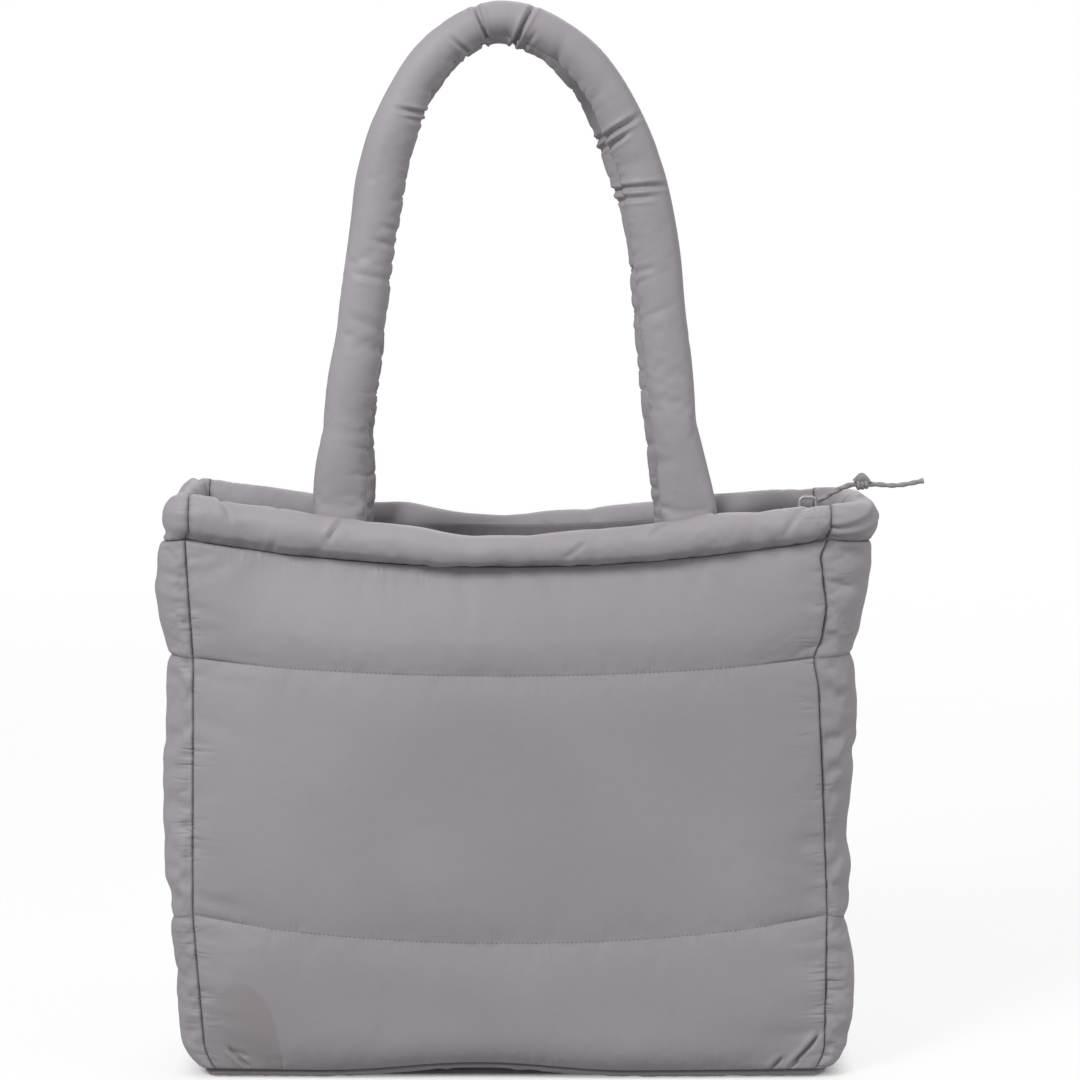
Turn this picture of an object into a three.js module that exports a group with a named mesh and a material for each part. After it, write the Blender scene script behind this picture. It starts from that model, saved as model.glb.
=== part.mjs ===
// A quilted, padded tote bag standing open on its base. The origin is on the floor under the middle
// of the bag, +Z is up, the front faces -Y, and every size is in millimetres.
import * as THREE from "three";
import { mergeVertices } from "three/addons/utils/BufferGeometryUtils.js";

// The bag's body, measured between its seams
const bodyWidth = 364;
const bodyDepth = 104;
const bodyHeight = 311;
const baseSeamHeight = 6;
const baseArch = 5;
const seamSag = 15;
const seamThickness = 3;
const seamGap = 0.3;

// How far the padding swells out of the seams
const faceBow = 8;
const endReach = 20;
const facePuff = 9;
const endPuff = 5;
const liningPuff = 4;

// The padded roll round the mouth
const rimHeight = 24;
const rimThickness = 20;

// The two padded handles, from the foot of a leg to the top of the arch
const legSpread = 198;
const handleRise = 311;
const handleWidth = 27;
const handleDepth = 25;
const legTuck = 11;
const legClearance = 0.8;

// The zip: two tapes, the slider that joins them at the right end, and its wire bail
const tapeWidth = 14;
const tapeThickness = 1.2;
const tapeRise = 13;
const teethThickness = 2.6;
const teethShare = 0.3;
const sliderLength = 12;
const sliderWidth = 8;
const sliderHeight = 4.5;
const sliderInset = 8;
const sliderRise = 5;
const sliderWaist = 0.22;
const bailWidth = 9.6;
const bailHeight = 9;
const bailWire = 1.4;

// The cord that serves as the zip's pull, and the knot in it
const cordDiameter = 3;
const knotLength = 9;
const knotDiameter = 8.4;
const foldHeight = 6.5;
const foldWidth = 9;
const foldThickness = 1.8;
const foldDepth = 5;

// How roundly the padding swells up and across a channel, and the least a dent leaves of it
const swellUp = 0.8;
const swellAcross = 0.6;
const leastPuff = 0.05;

// How much of its thickness the rim roll keeps at its seam
const rimPinch = 0.4;

// How finely the shapes are divided
const faceColumns = 16;
const endColumns = 10;
const rowsPerChannel = 5;
const baseRows = 6;
const rollSides = 12;
const handleSides = 12;
const handleSteps = 34;
const cordSides = 8;
const bailSteps = 18;
const tapeSteps = 20;
const knotSides = 12;

// The sewn levels from the floor up. height is a share of bodyHeight; the sags, in the middle of a
// face and of an end, are shares of seamSag; the corner seams are shares of half of bodyWidth; the
// reaches beyond them are shares of endReach, and bow is a share of faceBow.
const levels = [
  {
    height: 0.0, faceSag: 0.0, endSag: 0.0, bow: 0.5,
    leftSeam: 0.973, rightSeam: 0.973, leftReach: 0.65, rightReach: 0.68,
  },
  {
    height: 0.296, faceSag: 0.9, endSag: 0.5, bow: 0.8,
    leftSeam: 1.011, rightSeam: 0.978, leftReach: 0.82, rightReach: 0.69,
  },
  {
    height: 0.781, faceSag: 0.55, endSag: 0.0, bow: 0.9,
    leftSeam: 0.998, rightSeam: 0.937, leftReach: 0.97, rightReach: 1.14,
  },
  {
    height: 1.0, faceSag: 1.0, endSag: 0.25, bow: 0.6,
    leftSeam: 1.022, rightSeam: 0.962, leftReach: 0.85, rightReach: 1.4,
  },
];

// The line that the rim roll's middle follows, in the same shares as the levels
const rimLine = { leftSeam: 1.003, rightSeam: 0.973, leftReach: 0.6, rightReach: 1.08, bow: 1.1 };

// The padded channels between the levels, as shares of facePuff and endPuff
const channels = [
  { face: 0.95, left: 1.0, right: 1.2 },
  { face: 1.0, left: 0.8, right: 0.6 },
  { face: 1.1, left: 1.3, right: 0.8 },
];

// Dents in the walls: where they lie across and up the wall, how far they reach, as shares of the
// wall's half width and height, and how deep they are, as a share of the puff there
const dents = [
  { side: "right", across: 0.0, up: 0.45, wide: 0.9, high: 0.06, deep: 0.9 },
  { side: "front", across: 0.93, up: 0.05, wide: 0.1, high: 0.08, deep: 0.5 },
  { side: "front", across: -0.9, up: 0.04, wide: 0.1, high: 0.06, deep: 0.4 },
];

// The height of the rim roll along a face, as shares of rimHeight at shares of the way to the corner
const rimSections = [
  { at: -1.0, height: 1.06 },
  { at: -0.4, height: 0.98 },
  { at: -0.1, height: 0.76 },
  { at: 0.35, height: 0.9 },
  { at: 0.62, height: 0.98 },
  { at: 1.0, height: 0.84 },
];

// The height of the roll in the middle of each end, as shares of rimHeight
const rimEndHeights = { left: 1.12, right: 1.06 };

// The handles' centre lines from the left foot to the right one. front and back are shares of half
// of legSpread, up of handleRise, wide of handleWidth and deep of handleDepth.
const handleSections = [
  { front: -1.02, back: -1.02, up: 0.0, wide: 1.15, deep: 0.62 },
  { front: -1.008, back: -1.0, up: 0.116, wide: 1.16, deep: 0.8 },
  { front: -0.96, back: -0.97, up: 0.277, wide: 1.0, deep: 1.0 },
  { front: -0.902, back: -0.93, up: 0.431, wide: 0.98, deep: 1.0 },
  { front: -0.828, back: -0.88, up: 0.588, wide: 1.0, deep: 1.0 },
  { front: -0.71, back: -0.79, up: 0.79, wide: 1.03, deep: 0.98 },
  { front: -0.575, back: -0.64, up: 0.89, wide: 0.92, deep: 0.96 },
  { front: -0.34, back: -0.38, up: 0.968, wide: 0.86, deep: 0.96 },
  { front: -0.09, back: -0.11, up: 1.0, wide: 0.78, deep: 1.0 },
  { front: 0.21, back: 0.19, up: 0.97, wide: 0.84, deep: 0.98 },
  { front: 0.455, back: 0.43, up: 0.894, wide: 0.87, deep: 0.96 },
  { front: 0.68, back: 0.64, up: 0.746, wide: 0.95, deep: 0.98 },
  { front: 0.78, back: 0.79, up: 0.6, wide: 1.0, deep: 1.0 },
  { front: 0.85, back: 0.84, up: 0.447, wide: 0.98, deep: 1.0 },
  { front: 0.912, back: 0.89, up: 0.283, wide: 1.0, deep: 1.0 },
  { front: 0.993, back: 0.97, up: 0.109, wide: 1.22, deep: 0.8 },
  { front: 1.02, back: 0.99, up: 0.0, wide: 1.18, deep: 0.62 },
];

// Sharp creases across the handles: where, as a share of their length, and how deep and how long,
// as shares of handleWidth
const handleCreases = [
  { at: 0.3, deep: 0.04, long: 0.4 },
  { at: 0.432, deep: 0.07, long: 0.3 },
  { at: 0.478, deep: 0.1, long: 0.3 },
  { at: 0.508, deep: 0.1, long: 0.3 },
  { at: 0.622, deep: 0.09, long: 0.32 },
  { at: 0.712, deep: 0.07, long: 0.36 },
];

// The pull's route: it leaves the bail, lies over the right end of the rim and stands out past it
const pullRoute = [
  [174.9, -0.5, 328.0],
  [178.6, -1.2, 330.0],
  [182.0, -1.8, 332.1],
  [185.6, -2.2, 334.2],
  [189.4, -2.5, 336.0],
  [193.4, -2.7, 337.3],
  [197.4, -2.8, 337.7],
  [201.6, -2.8, 337.9],
  [206.0, -2.6, 337.7],
  [210.4, -2.2, 337.5],
  [214.8, -1.7, 337.0],
  [219.2, -1.1, 336.9],
  [223.6, -0.4, 337.2],
  [227.8, 0.3, 337.8],
  [232.0, 1.0, 338.6],
  [236.0, 1.6, 339.4],
];

const lerp = THREE.MathUtils.lerp;
const clamp = THREE.MathUtils.clamp;
const smoothstep = THREE.MathUtils.smoothstep;

const finishes = {
  shell: { color: 0x9a959a, roughness: 0.62, metalness: 0.0 },
  tape: { color: 0x6f6a70, roughness: 0.85, metalness: 0.0 },
  metal: { color: 0xa9a5a8, roughness: 0.38, metalness: 0.85 },
  cord: { color: 0x8f8a8d, roughness: 0.75, metalness: 0.0 },
};

// A mesh whose vertices are those of a closed geometry, each moved to where place puts it
function formed(name, geometry, finish, place) {
  const positions = geometry.getAttribute("position");
  for (let i = 0; i < positions.count; i += 1) {
    const point = place(positions.getX(i), positions.getY(i), positions.getZ(i));
    positions.setXYZ(i, point.x, point.y, point.z);
  }
  return piece(name, geometry, finish);
}

function piece(name, geometry, finish) {
  geometry.deleteAttribute("uv");
  geometry.deleteAttribute("normal");
  const merged = mergeVertices(geometry, 1e-4);
  merged.computeVertexNormals();
  const mesh = new THREE.Mesh(merged, new THREE.MeshStandardMaterial(finishes[finish]));
  mesh.name = name;
  return mesh;
}

// The value of one column of a table of sections at a place between its rows
function between(rows, key, column, at) {
  const last = rows.length - 1;
  if (at <= rows[0][key]) return rows[0][column];
  if (at >= rows[last][key]) return rows[last][column];
  const next = rows.findIndex((row) => row[key] > at);
  const [low, high] = [rows[next - 1], rows[next]];
  return lerp(low[column], high[column], smoothstep(at, low[key], high[key]));
}

// The base rises clear of the floor a little left of the middle
const archCentre = -0.12;
const archHalfLength = 0.5;

function archAt(across) {
  const share = Math.abs(across - archCentre) / archHalfLength;
  return share < 1 ? baseArch * Math.cos((share * Math.PI) / 2) ** 2 : 0;
}

const sides = {
  front: { outward: -1, isFace: true, puff: "face" },
  back: { outward: 1, isFace: true, puff: "face" },
  left: { outward: -1, isFace: false, puff: "left", seam: "leftSeam", reach: "leftReach" },
  right: { outward: 1, isFace: false, puff: "right", seam: "rightSeam", reach: "rightReach" },
};

function heightAt(level, side, across) {
  const free = 1 - across * across;
  const corner = lerp(baseSeamHeight, bodyHeight, level.height);
  if (!side.isFace) return corner - seamSag * level.endSag * free;
  const arch = level === levels[0] ? archAt(side.outward < 0 ? across : -across) : 0;
  return corner - seamSag * level.faceSag * free + arch;
}

// The middle of a face's wall: along runs from -1 to 1, counterclockwise seen from above
function facePlan(level, side, along) {
  const left = (level.leftSeam * bodyWidth) / 2 - seamGap;
  const right = (level.rightSeam * bodyWidth) / 2 - seamGap;
  const across = side.outward < 0 ? along : -along;
  const bow = faceBow * level.bow * (1 - along * along);
  return {
    x: lerp(-left, right, (across + 1) / 2),
    y: side.outward * (bodyDepth / 2 + bow),
    normalX: 0,
    normalY: side.outward,
  };
}

// The middle of an end's wall: a flat stretch between two rounded corners, which start at the seams
function endPlan(level, side, along) {
  const radius = level[side.reach] * endReach;
  const flat = bodyDepth / 2 - radius;
  const distance = Math.abs(along) * (flat + (radius * Math.PI) / 2);
  const turn = Math.max(0, distance - flat) / radius;
  const way = Math.sign(along) * side.outward;
  const beyond = radius * Math.cos(turn);
  const seam = (level[side.seam] * bodyWidth) / 2;
  return {
    x: side.outward * (seam + beyond),
    y: way * (Math.min(distance, flat) + radius * Math.sin(turn)),
    normalX: side.outward * Math.cos(turn),
    normalY: way * Math.sin(turn),
  };
}

function planAt(level, side, along) {
  return side.isFace ? facePlan(level, side, along) : endPlan(level, side, along);
}

function dentAt(name, across, up) {
  let depth = 0;
  for (const dent of dents) {
    if (dent.side !== name) continue;
    const away = Math.hypot((across - dent.across) / dent.wide, (up - dent.up) / dent.high);
    depth += dent.deep * Math.exp(-away * away);
  }
  return depth;
}

// One wall of the body, in three channels that swell out between the quilting seams
function wall(nodeName, sideName, columns) {
  const side = sides[sideName];
  const box = new THREE.BoxGeometry(2, 1, 2, columns, rowsPerChannel * channels.length, 1);
  return formed(nodeName, box, "shell", (u, v, w) => {
    const row = clamp((v + 0.5) * channels.length, 0, channels.length);
    const index = Math.min(Math.floor(row + 1e-6), channels.length - 1);
    const turn = (row - index) * Math.PI;
    const along = side.isFace ? Math.sin((u * Math.PI) / 2) : u;
    const rise = (1 - Math.cos(turn)) / 2;
    const low = planAt(levels[index], side, along);
    const high = planAt(levels[index + 1], side, along);
    const lowHeight = heightAt(levels[index], side, along);
    const highHeight = heightAt(levels[index + 1], side, along);
    const z = lerp(lowHeight, highHeight, rise);
    const acrossSwell = Math.max(0, Math.cos((u * Math.PI) / 2)) ** swellAcross;
    const swell = Math.abs(Math.sin(turn)) ** swellUp * acrossSwell;
    const outerPuff = (side.isFace ? facePuff : endPuff) * channels[index][side.puff];
    const dent = dentAt(sideName, along, z / bodyHeight);
    const puff = w > 0 ? outerPuff * Math.max(leastPuff, 1 - dent) : liningPuff;
    const offset = w * (seamThickness / 2 + puff * swell);
    const normalX = lerp(low.normalX, high.normalX, rise);
    const normalY = lerp(low.normalY, high.normalY, rise);
    return {
      x: lerp(low.x, high.x, rise) + offset * normalX,
      y: lerp(low.y, high.y, rise) + offset * normalY,
      z,
    };
  });
}

// The base: flat on the floor towards both ends, arched between them, rounded up to its seam
function base() {
  const level = levels[0];
  const box = new THREE.BoxGeometry(2, 2, 2, faceColumns, baseRows, 1);
  return formed("base_panel", box, "shell", (u, v, w) => {
    const across = Math.sin((u * Math.PI) / 2);
    const deep = Math.sin((v * Math.PI) / 2);
    const edge = { left: 0, right: 0 };
    for (const name of ["left", "right"]) {
      const side = sides[name];
      const radius = level[side.reach] * endReach;
      const past = Math.max(0, (Math.abs(deep) * bodyDepth) / 2 - (bodyDepth / 2 - radius));
      edge[name] = (level[side.seam] * bodyWidth) / 2 - seamGap + Math.sqrt(radius ** 2 - past ** 2);
    }
    const bow = faceBow * level.bow * (1 - across * across);
    const atEdge = Math.abs(u) === 1 || Math.abs(v) === 1;
    const seam = baseSeamHeight + archAt(across) * deep * deep - seamGap;
    const hollow = liningPuff * (1 - across ** 2) * (1 - deep ** 2);
    const under = atEdge ? seam - seamThickness : archAt(across);
    return {
      x: lerp(-edge.left, edge.right, (across + 1) / 2),
      y: -deep * (bodyDepth / 2 + bow),
      z: w > 0 ? under : Math.max(seam, under + seamThickness) + hollow,
    };
  });
}

// The roll's section is pinched at its seam: how far it has come there from the wall's seam to the
// rim's own line, and how thick it is, at a place (out, up) on a round section
function rollSection(out, up) {
  const lean = smoothstep(up, -1, -0.2);
  return { lean, offset: (out * rimThickness * lerp(rimPinch, 1, lean)) / 2 };
}

// One stretch of the roll round the mouth. Its underside starts on the wall's seam, and its middle
// lies on the rim's own line.
function rim(nodeName, sideName, columns) {
  const side = sides[sideName];
  const seamLevel = levels[levels.length - 1];
  const cylinder = new THREE.CylinderGeometry(1, 1, 2, rollSides, columns);
  return formed(nodeName, cylinder, "shell", (out, u, up) => {
    const along = side.isFace ? Math.sin((u * Math.PI) / 2) : u;
    const across = side.isFace ? -side.outward * along : side.outward;
    const corner = between(rimSections, "at", "height", across);
    const swell = side.isFace ? 0 : 1 - along * along;
    const halfHeight = (rimHeight * lerp(corner, rimEndHeights[sideName] ?? corner, swell)) / 2;
    const seam = planAt(seamLevel, side, along);
    const middle = planAt(rimLine, side, along);
    const { lean, offset } = rollSection(out, up);
    return {
      x: lerp(seam.x, middle.x, lean) + middle.normalX * offset,
      y: lerp(seam.y, middle.y, lean) + middle.normalY * offset,
      z: heightAt(seamLevel, side, along) + seamGap + halfHeight * (1 + up),
    };
  });
}

// The places along a handle where its surface is divided: even steps, and three at each crease
const handleLength = 2 * handleRise + legSpread / 2;

function handleStations() {
  const places = [];
  for (let i = 0; i <= handleSteps; i += 1) places.push(i / handleSteps);
  for (const crease of handleCreases) {
    const half = (crease.long * handleWidth) / 2 / handleLength;
    places.push(crease.at - half, crease.at, crease.at + half);
  }
  return places.sort((a, b) => a - b);
}

function creaseAt(place) {
  let depth = 0;
  for (const crease of handleCreases) {
    const half = (crease.long * handleWidth) / 2 / handleLength;
    const share = Math.abs(place - crease.at) / half;
    depth += share < 1 ? crease.deep * (1 - share) : 0;
  }
  return depth;
}

const rimLevel = levels[levels.length - 1];
const rimSeamAtLegs = heightAt(rimLevel, sides.front, legSpread / bodyWidth);
const footHeight = rimSeamAtLegs - legTuck;

// How far from the middle of the bag the innermost side of a face's roll lies
function insideOfRim(across) {
  const insets = [];
  for (let i = 0; i < rollSides; i += 1) {
    const turn = (i / rollSides) * 2 * Math.PI;
    const { lean, offset } = rollSection(Math.cos(turn), Math.sin(turn));
    const bow = faceBow * lerp(rimLevel.bow, rimLine.bow, lean);
    insets.push(bodyDepth / 2 + bow * (1 - across * across) + offset);
  }
  return Math.min(...insets);
}

// A handle's legs hang inside the rim, with the zip tape between
function legFront() {
  return insideOfRim(legSpread / bodyWidth) - teethThickness - 3 * seamGap - legClearance;
}

function handle(nodeName, column, outward) {
  const points = handleSections.map((row) => {
    const inset = legFront() - (handleDepth * row.deep) / 2;
    const x = (row[column] * legSpread) / 2;
    return new THREE.Vector3(x, outward * inset, footHeight + row.up * handleRise);
  });
  const route = new THREE.CatmullRomCurve3(points, false, "centripetal");
  const spans = handleSections.map((row, i) => ({ ...row, at: i / (handleSections.length - 1) }));
  const stations = handleStations();
  const sideways = new THREE.Vector3(0, 1, 0);
  const cylinder = new THREE.CylinderGeometry(1, 1, 1, handleSides, stations.length - 1);
  return formed(nodeName, cylinder, "shell", (out, v, deep) => {
    const place = stations[Math.round((v + 0.5) * (stations.length - 1))];
    const point = route.getPointAt(place);
    const tangent = route.getTangentAt(place);
    const normal = new THREE.Vector3().crossVectors(tangent, sideways).normalize();
    const at = route.getUtoTmapping(place);
    const crease = creaseAt(place) * (1 - out);
    const halfWidth = (handleWidth * (between(spans, "at", "wide", at) - crease)) / 2;
    const halfDepth = (handleDepth * (between(spans, "at", "deep", at) - crease)) / 2;
    return point.addScaledVector(normal, out * halfWidth).addScaledVector(sideways, deep * halfDepth);
  });
}

// The zip. Each tape is sewn along the inside of the rim with its teeth hanging down, and turns
// inwards at the right end, where its teeth meet the slider.
const sliderX = (rimLine.rightSeam * bodyWidth) / 2 - sliderInset;
const sliderBase = bodyHeight + sliderRise;
const tapeStart = -(rimLine.leftSeam * bodyWidth) / 2 + rimThickness / 2;
const turnStart = legSpread / 2 + 0.7 * handleWidth;

function tape(nodeName, sideName) {
  const side = sides[sideName];
  const box = new THREE.BoxGeometry(1, 1, 2, tapeSteps, 3, 1);
  const end = sliderX - sliderLength / 2 - seamGap;
  return formed(nodeName, box, "tape", (u, v, w) => {
    const share = u + 0.5;
    const x = lerp(tapeStart, end, side.outward < 0 ? share : 1 - share);
    const across = (2 * x) / bodyWidth + (rimLine.leftSeam - rimLine.rightSeam) / 2;
    const turning = smoothstep(x, turnStart, end);
    const sewn = insideOfRim(across) - tapeThickness / 2 - 2 * seamGap;
    const down = v + 0.5;
    const seamZ = heightAt(rimLevel, side, side.outward < 0 ? across : -across);
    const hangingZ = seamZ + tapeRise - tapeWidth * (1 - down);
    const lyingZ = sliderBase + sliderHeight / 2;
    const lyingY = seamGap + teethThickness / 2 + tapeWidth * down;
    const thickness = down < teethShare ? teethThickness : tapeThickness;
    const inward = w < 0 ? thickness - tapeThickness / 2 : -tapeThickness / 2;
    const y = lerp(sewn - inward, lyingY, turning);
    const z = lerp(hangingZ, lyingZ + inward, turning);
    return { x, y: side.outward * y, z };
  });
}

function slider() {
  const box = new THREE.BoxGeometry(2, 2, 2, 4, 4, 2);
  return formed("zip_slider", box, "metal", (x, y, z) => {
    const waist = 1 - sliderWaist * x * x * Math.abs(z);
    return {
      x: sliderX + (x * sliderLength) / 2,
      y: (y * sliderWidth * waist) / 2,
      z: sliderBase + (sliderHeight * (z + 1)) / 2,
    };
  });
}

// The wire arch on the slider's back, as shares of bailWidth and bailHeight
const bailSections = [
  { across: 0.0, up: 0.0 },
  { across: 0.0, up: 0.55 },
  { across: 0.2, up: 0.92 },
  { across: 0.5, up: 1.0 },
  { across: 0.82, up: 0.95 },
  { across: 1.0, up: 0.55 },
  { across: 1.0, up: 0.0 },
];

function bail() {
  const foot = sliderBase + sliderHeight + seamGap;
  const left = sliderX - bailWidth / 2;
  const points = bailSections.map(
    (row) => new THREE.Vector3(left + bailWidth * row.across, 0, foot + bailHeight * row.up),
  );
  const route = new THREE.CatmullRomCurve3(points);
  return piece("zip_bail", tube(route, bailWire / 2, cordSides, bailSteps), "metal");
}

function tube(route, radius, tubeSides, steps) {
  const section = new THREE.Shape();
  section.absarc(0, 0, radius, 0, 2 * Math.PI, false);
  return new THREE.ExtrudeGeometry(section, {
    curveSegments: tubeSides / 2,
    steps,
    bevelEnabled: false,
    extrudePath: route,
  });
}

const pullCurve = new THREE.CatmullRomCurve3(pullRoute.map((p) => new THREE.Vector3(...p)));
const knotPlace = 0.43;

function pullCord() {
  const steps = Math.ceil(pullCurve.getLength() / (cordDiameter * 1.2));
  return piece("pull_cord", tube(pullCurve, cordDiameter / 2, cordSides, steps), "cord");
}

// The knot is a ring of wound cord with the pull running through it. Its profile is in shares of
// half of knotDiameter and half of knotLength.
const knotProfile = [
  { radius: 0.8, along: -1.0 },
  { radius: 1.0, along: -0.5 },
  { radius: 0.88, along: 0.0 },
  { radius: 1.0, along: 0.5 },
  { radius: 0.76, along: 1.0 },
];

function pullKnot() {
  const bore = cordDiameter / 2 + 2 * seamGap;
  const half = knotLength / 2;
  const start = new THREE.Vector2(bore, -half);
  const profile = [start];
  for (const row of knotProfile) {
    profile.push(new THREE.Vector2((knotDiameter / 2) * row.radius, half * row.along));
  }
  profile.push(new THREE.Vector2(bore, half), start.clone());
  const mesh = piece("pull_knot", new THREE.LatheGeometry(profile, knotSides), "cord");
  mesh.position.copy(pullCurve.getPointAt(knotPlace));
  mesh.quaternion.setFromUnitVectors(new THREE.Vector3(0, 1, 0), pullCurve.getTangentAt(knotPlace));
  return mesh;
}

// The end of the strap, folded over on top of the knot
function pullFold() {
  const seat = pullCurve.getPointAt(knotPlace);
  const foot = seat.z + knotDiameter / 2;
  const box = new THREE.BoxGeometry(1, 1, 2, 6, 2, 1);
  return formed("pull_fold", box, "cord", (u, v, w) => {
    const rising = foldHeight * Math.max(0, Math.cos(u * Math.PI));
    return {
      x: seat.x + u * (foldWidth + w * foldThickness) * 0.8,
      y: seat.y + v * foldDepth,
      z: foot + rising + (w > 0 ? foldThickness : 0),
    };
  });
}

const bag = new THREE.Group();
bag.add(
  wall("front_panel", "front", faceColumns),
  wall("back_panel", "back", faceColumns),
  wall("left_gusset", "left", endColumns),
  wall("right_gusset", "right", endColumns),
  base(),
  rim("rim_front", "front", faceColumns),
  rim("rim_back", "back", faceColumns),
  rim("rim_left", "left", endColumns),
  rim("rim_right", "right", endColumns),
  handle("handle_front", "front", -1),
  handle("handle_back", "back", 1),
  tape("zip_tape_front", "front"),
  tape("zip_tape_back", "back"),
  slider(),
  bail(),
  pullCord(),
  pullKnot(),
  pullFold(),
);

export default bag;
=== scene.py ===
import math

import bmesh
import bpy
import numpy as np
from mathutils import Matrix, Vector


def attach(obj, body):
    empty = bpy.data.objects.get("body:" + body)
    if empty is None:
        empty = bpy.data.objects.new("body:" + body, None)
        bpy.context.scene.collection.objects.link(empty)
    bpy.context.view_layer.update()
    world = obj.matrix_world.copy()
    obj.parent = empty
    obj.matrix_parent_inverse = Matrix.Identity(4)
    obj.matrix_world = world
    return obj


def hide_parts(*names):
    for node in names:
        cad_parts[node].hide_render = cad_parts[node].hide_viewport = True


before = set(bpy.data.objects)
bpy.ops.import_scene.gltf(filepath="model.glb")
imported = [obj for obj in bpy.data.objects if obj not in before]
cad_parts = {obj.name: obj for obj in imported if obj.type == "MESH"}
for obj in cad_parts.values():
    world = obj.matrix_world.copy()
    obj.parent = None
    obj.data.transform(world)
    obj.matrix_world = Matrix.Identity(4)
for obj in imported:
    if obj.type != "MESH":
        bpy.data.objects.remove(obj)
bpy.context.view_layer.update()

mm = 0.001  # the tables below are in millimetres, the meshes in metres
fullTurn = 2 * math.pi

view = {
    "place": (0.014, -1.66, 0.49),
    "aim": (0.014, 0.0, 0.305),
    "lens": 96,
    "sensor": 36,
}


def linked(name, data):
    thing = bpy.data.objects.new(name, data)
    bpy.context.scene.collection.objects.link(thing)
    return thing


def aimed(thing, place, aim):
    thing.location = place
    thing.rotation_mode = "QUATERNION"
    thing.rotation_quaternion = (Vector(aim) - Vector(place)).to_track_quat("-Z", "Y")
    return thing


def table(columns, *rows):
    # rows of bare values as dictionaries, under the names of their columns
    return [dict(zip(columns.split(), row)) for row in rows]


def makeCamera():
    data = bpy.data.cameras.new("viewCamera")
    data.lens = view["lens"]
    data.sensor_width = view["sensor"]
    data.clip_start = 0.05
    data.clip_end = 60
    bpy.context.scene.camera = aimed(linked("viewCamera", data), view["place"], view["aim"])


makeCamera()
print("camera placed")


def smooth(x, low, high):
    share = np.clip((x - low) / (high - low), 0, 1)
    return share * share * (3 - 2 * share)


def mix(a, b, share):
    return a + (b - a) * share


def between(rows, key, column, at):
    # the value of one column of a table at places between its rows
    keys = np.array([row[key] for row in rows], float)
    values = np.array([row[column] for row in rows], float)
    at = np.clip(np.asarray(at, float), keys[0], keys[-1])
    upper = np.clip(np.searchsorted(keys, at, side="right"), 1, len(keys) - 1)
    share = smooth(at, keys[upper - 1], keys[upper])
    return mix(values[upper - 1], values[upper], share)


def wander(seed, x, y, size):
    # soft random swells between about -1 and 1, with lumps of about the given size
    random = np.random.default_rng(seed)
    total = 0
    for _ in range(9):
        heading = random.uniform(0, math.pi)
        wave = fullTurn / (size * random.uniform(0.8, 2.2))
        phase = random.uniform(0, fullTurn)
        total = total + np.cos((x * math.cos(heading) + y * math.sin(heading)) * wave + phase)
    return total / 4


def turnsOf(count):
    # a row of even places round a circle
    return np.linspace(0, fullTurn, count, endpoint=False)[None, :]


def fading(distance, reach, power):
    # 1 at a seam, and less with the distance from it
    return np.exp(-((distance / reach) ** power))


def pucker(spacing, reach, depth, width):
    return {"spacing": spacing, "reach": reach, "depth": depth, "width": width}


def puckers(seed, along, away, spacing, reach, depth, width):
    # the small folds that a line of stitches pulls in: valleys across the seam that fade away from it
    random = np.random.default_rng(seed)
    total = np.zeros(np.broadcast(along, away).shape)
    place = float(np.min(along))
    last = float(np.max(along))
    while place < last:
        place += spacing * random.uniform(0.45, 1.7)
        length = reach * random.uniform(0.35, 1.7)
        strength = depth * random.uniform(0.25, 1.35)
        lean = random.uniform(-0.35, 0.35)
        spread = width * random.uniform(0.8, 1.4) * (1 + away / (2.5 * reach))
        across = (along - place - lean * away) / spread
        total += strength * np.exp(-across * across) * fading(away, length, 1.4)
    return total


def allPuckers(seed, *rows):
    # several rows of puckers together: how far each one's seed is from the first, along, away, its look
    return sum(puckers(seed + step, along, away, **look) for step, along, away, look in rows)


def fold(along, away, start, end, depth, width):
    # one crease from start to end, in the surface's own coordinates, with a slight ridge beside it
    a, b = np.array(start, float), np.array(end, float)
    line = b - a
    length = np.hypot(*line)
    x, y = along - a[0], away - a[1]
    share = (x * line[0] + y * line[1]) / length**2
    off = (x * line[1] - y * line[0]) / length
    ends = smooth(share, -0.15, 0.2) * (1 - smooth(share, 0.75, 1.15))
    valley = np.exp(-np.abs(off / width) ** 2)
    ridge = 0.35 * np.exp(-(((off - 2.2 * width) / (1.6 * width)) ** 2))
    return depth * ends * (valley - ridge)


def linkMesh(name, points, faces, materials, faceSlots, uvs, values):
    # points in millimetres; faces are turned outwards by the sign of the volume that they enclose
    points = np.asarray(points, float) * mm
    corners = [np.array(f) for f in faces]
    volume = 0.0
    for f in corners:
        p = points[f]
        for j in range(1, len(f) - 1):
            volume += np.dot(p[0], np.cross(p[j], p[j + 1]))
    if volume < 0:
        faces = [tuple(reversed(f)) for f in faces]
    mesh = bpy.data.meshes.new(name)
    mesh.from_pydata(points.tolist(), [], [tuple(int(i) for i in f) for f in faces])
    mesh.update()
    mesh.polygons.foreach_set("use_smooth", [True] * len(mesh.polygons))
    for material in materials:
        mesh.materials.append(material)
    if faceSlots is not None:
        mesh.polygons.foreach_set("material_index", list(faceSlots))
    layer = mesh.uv_layers.new(name="cloth")
    order = np.zeros(len(mesh.loops), int)
    mesh.loops.foreach_get("vertex_index", order)
    layer.data.foreach_set("uv", (np.asarray(uvs, float)[order] * mm).ravel())
    for key, column in values.items():
        attribute = mesh.attributes.new(key, "FLOAT", "POINT")
        attribute.data.foreach_set("value", np.asarray(column, np.float32))
    return linked(name, mesh)


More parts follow.
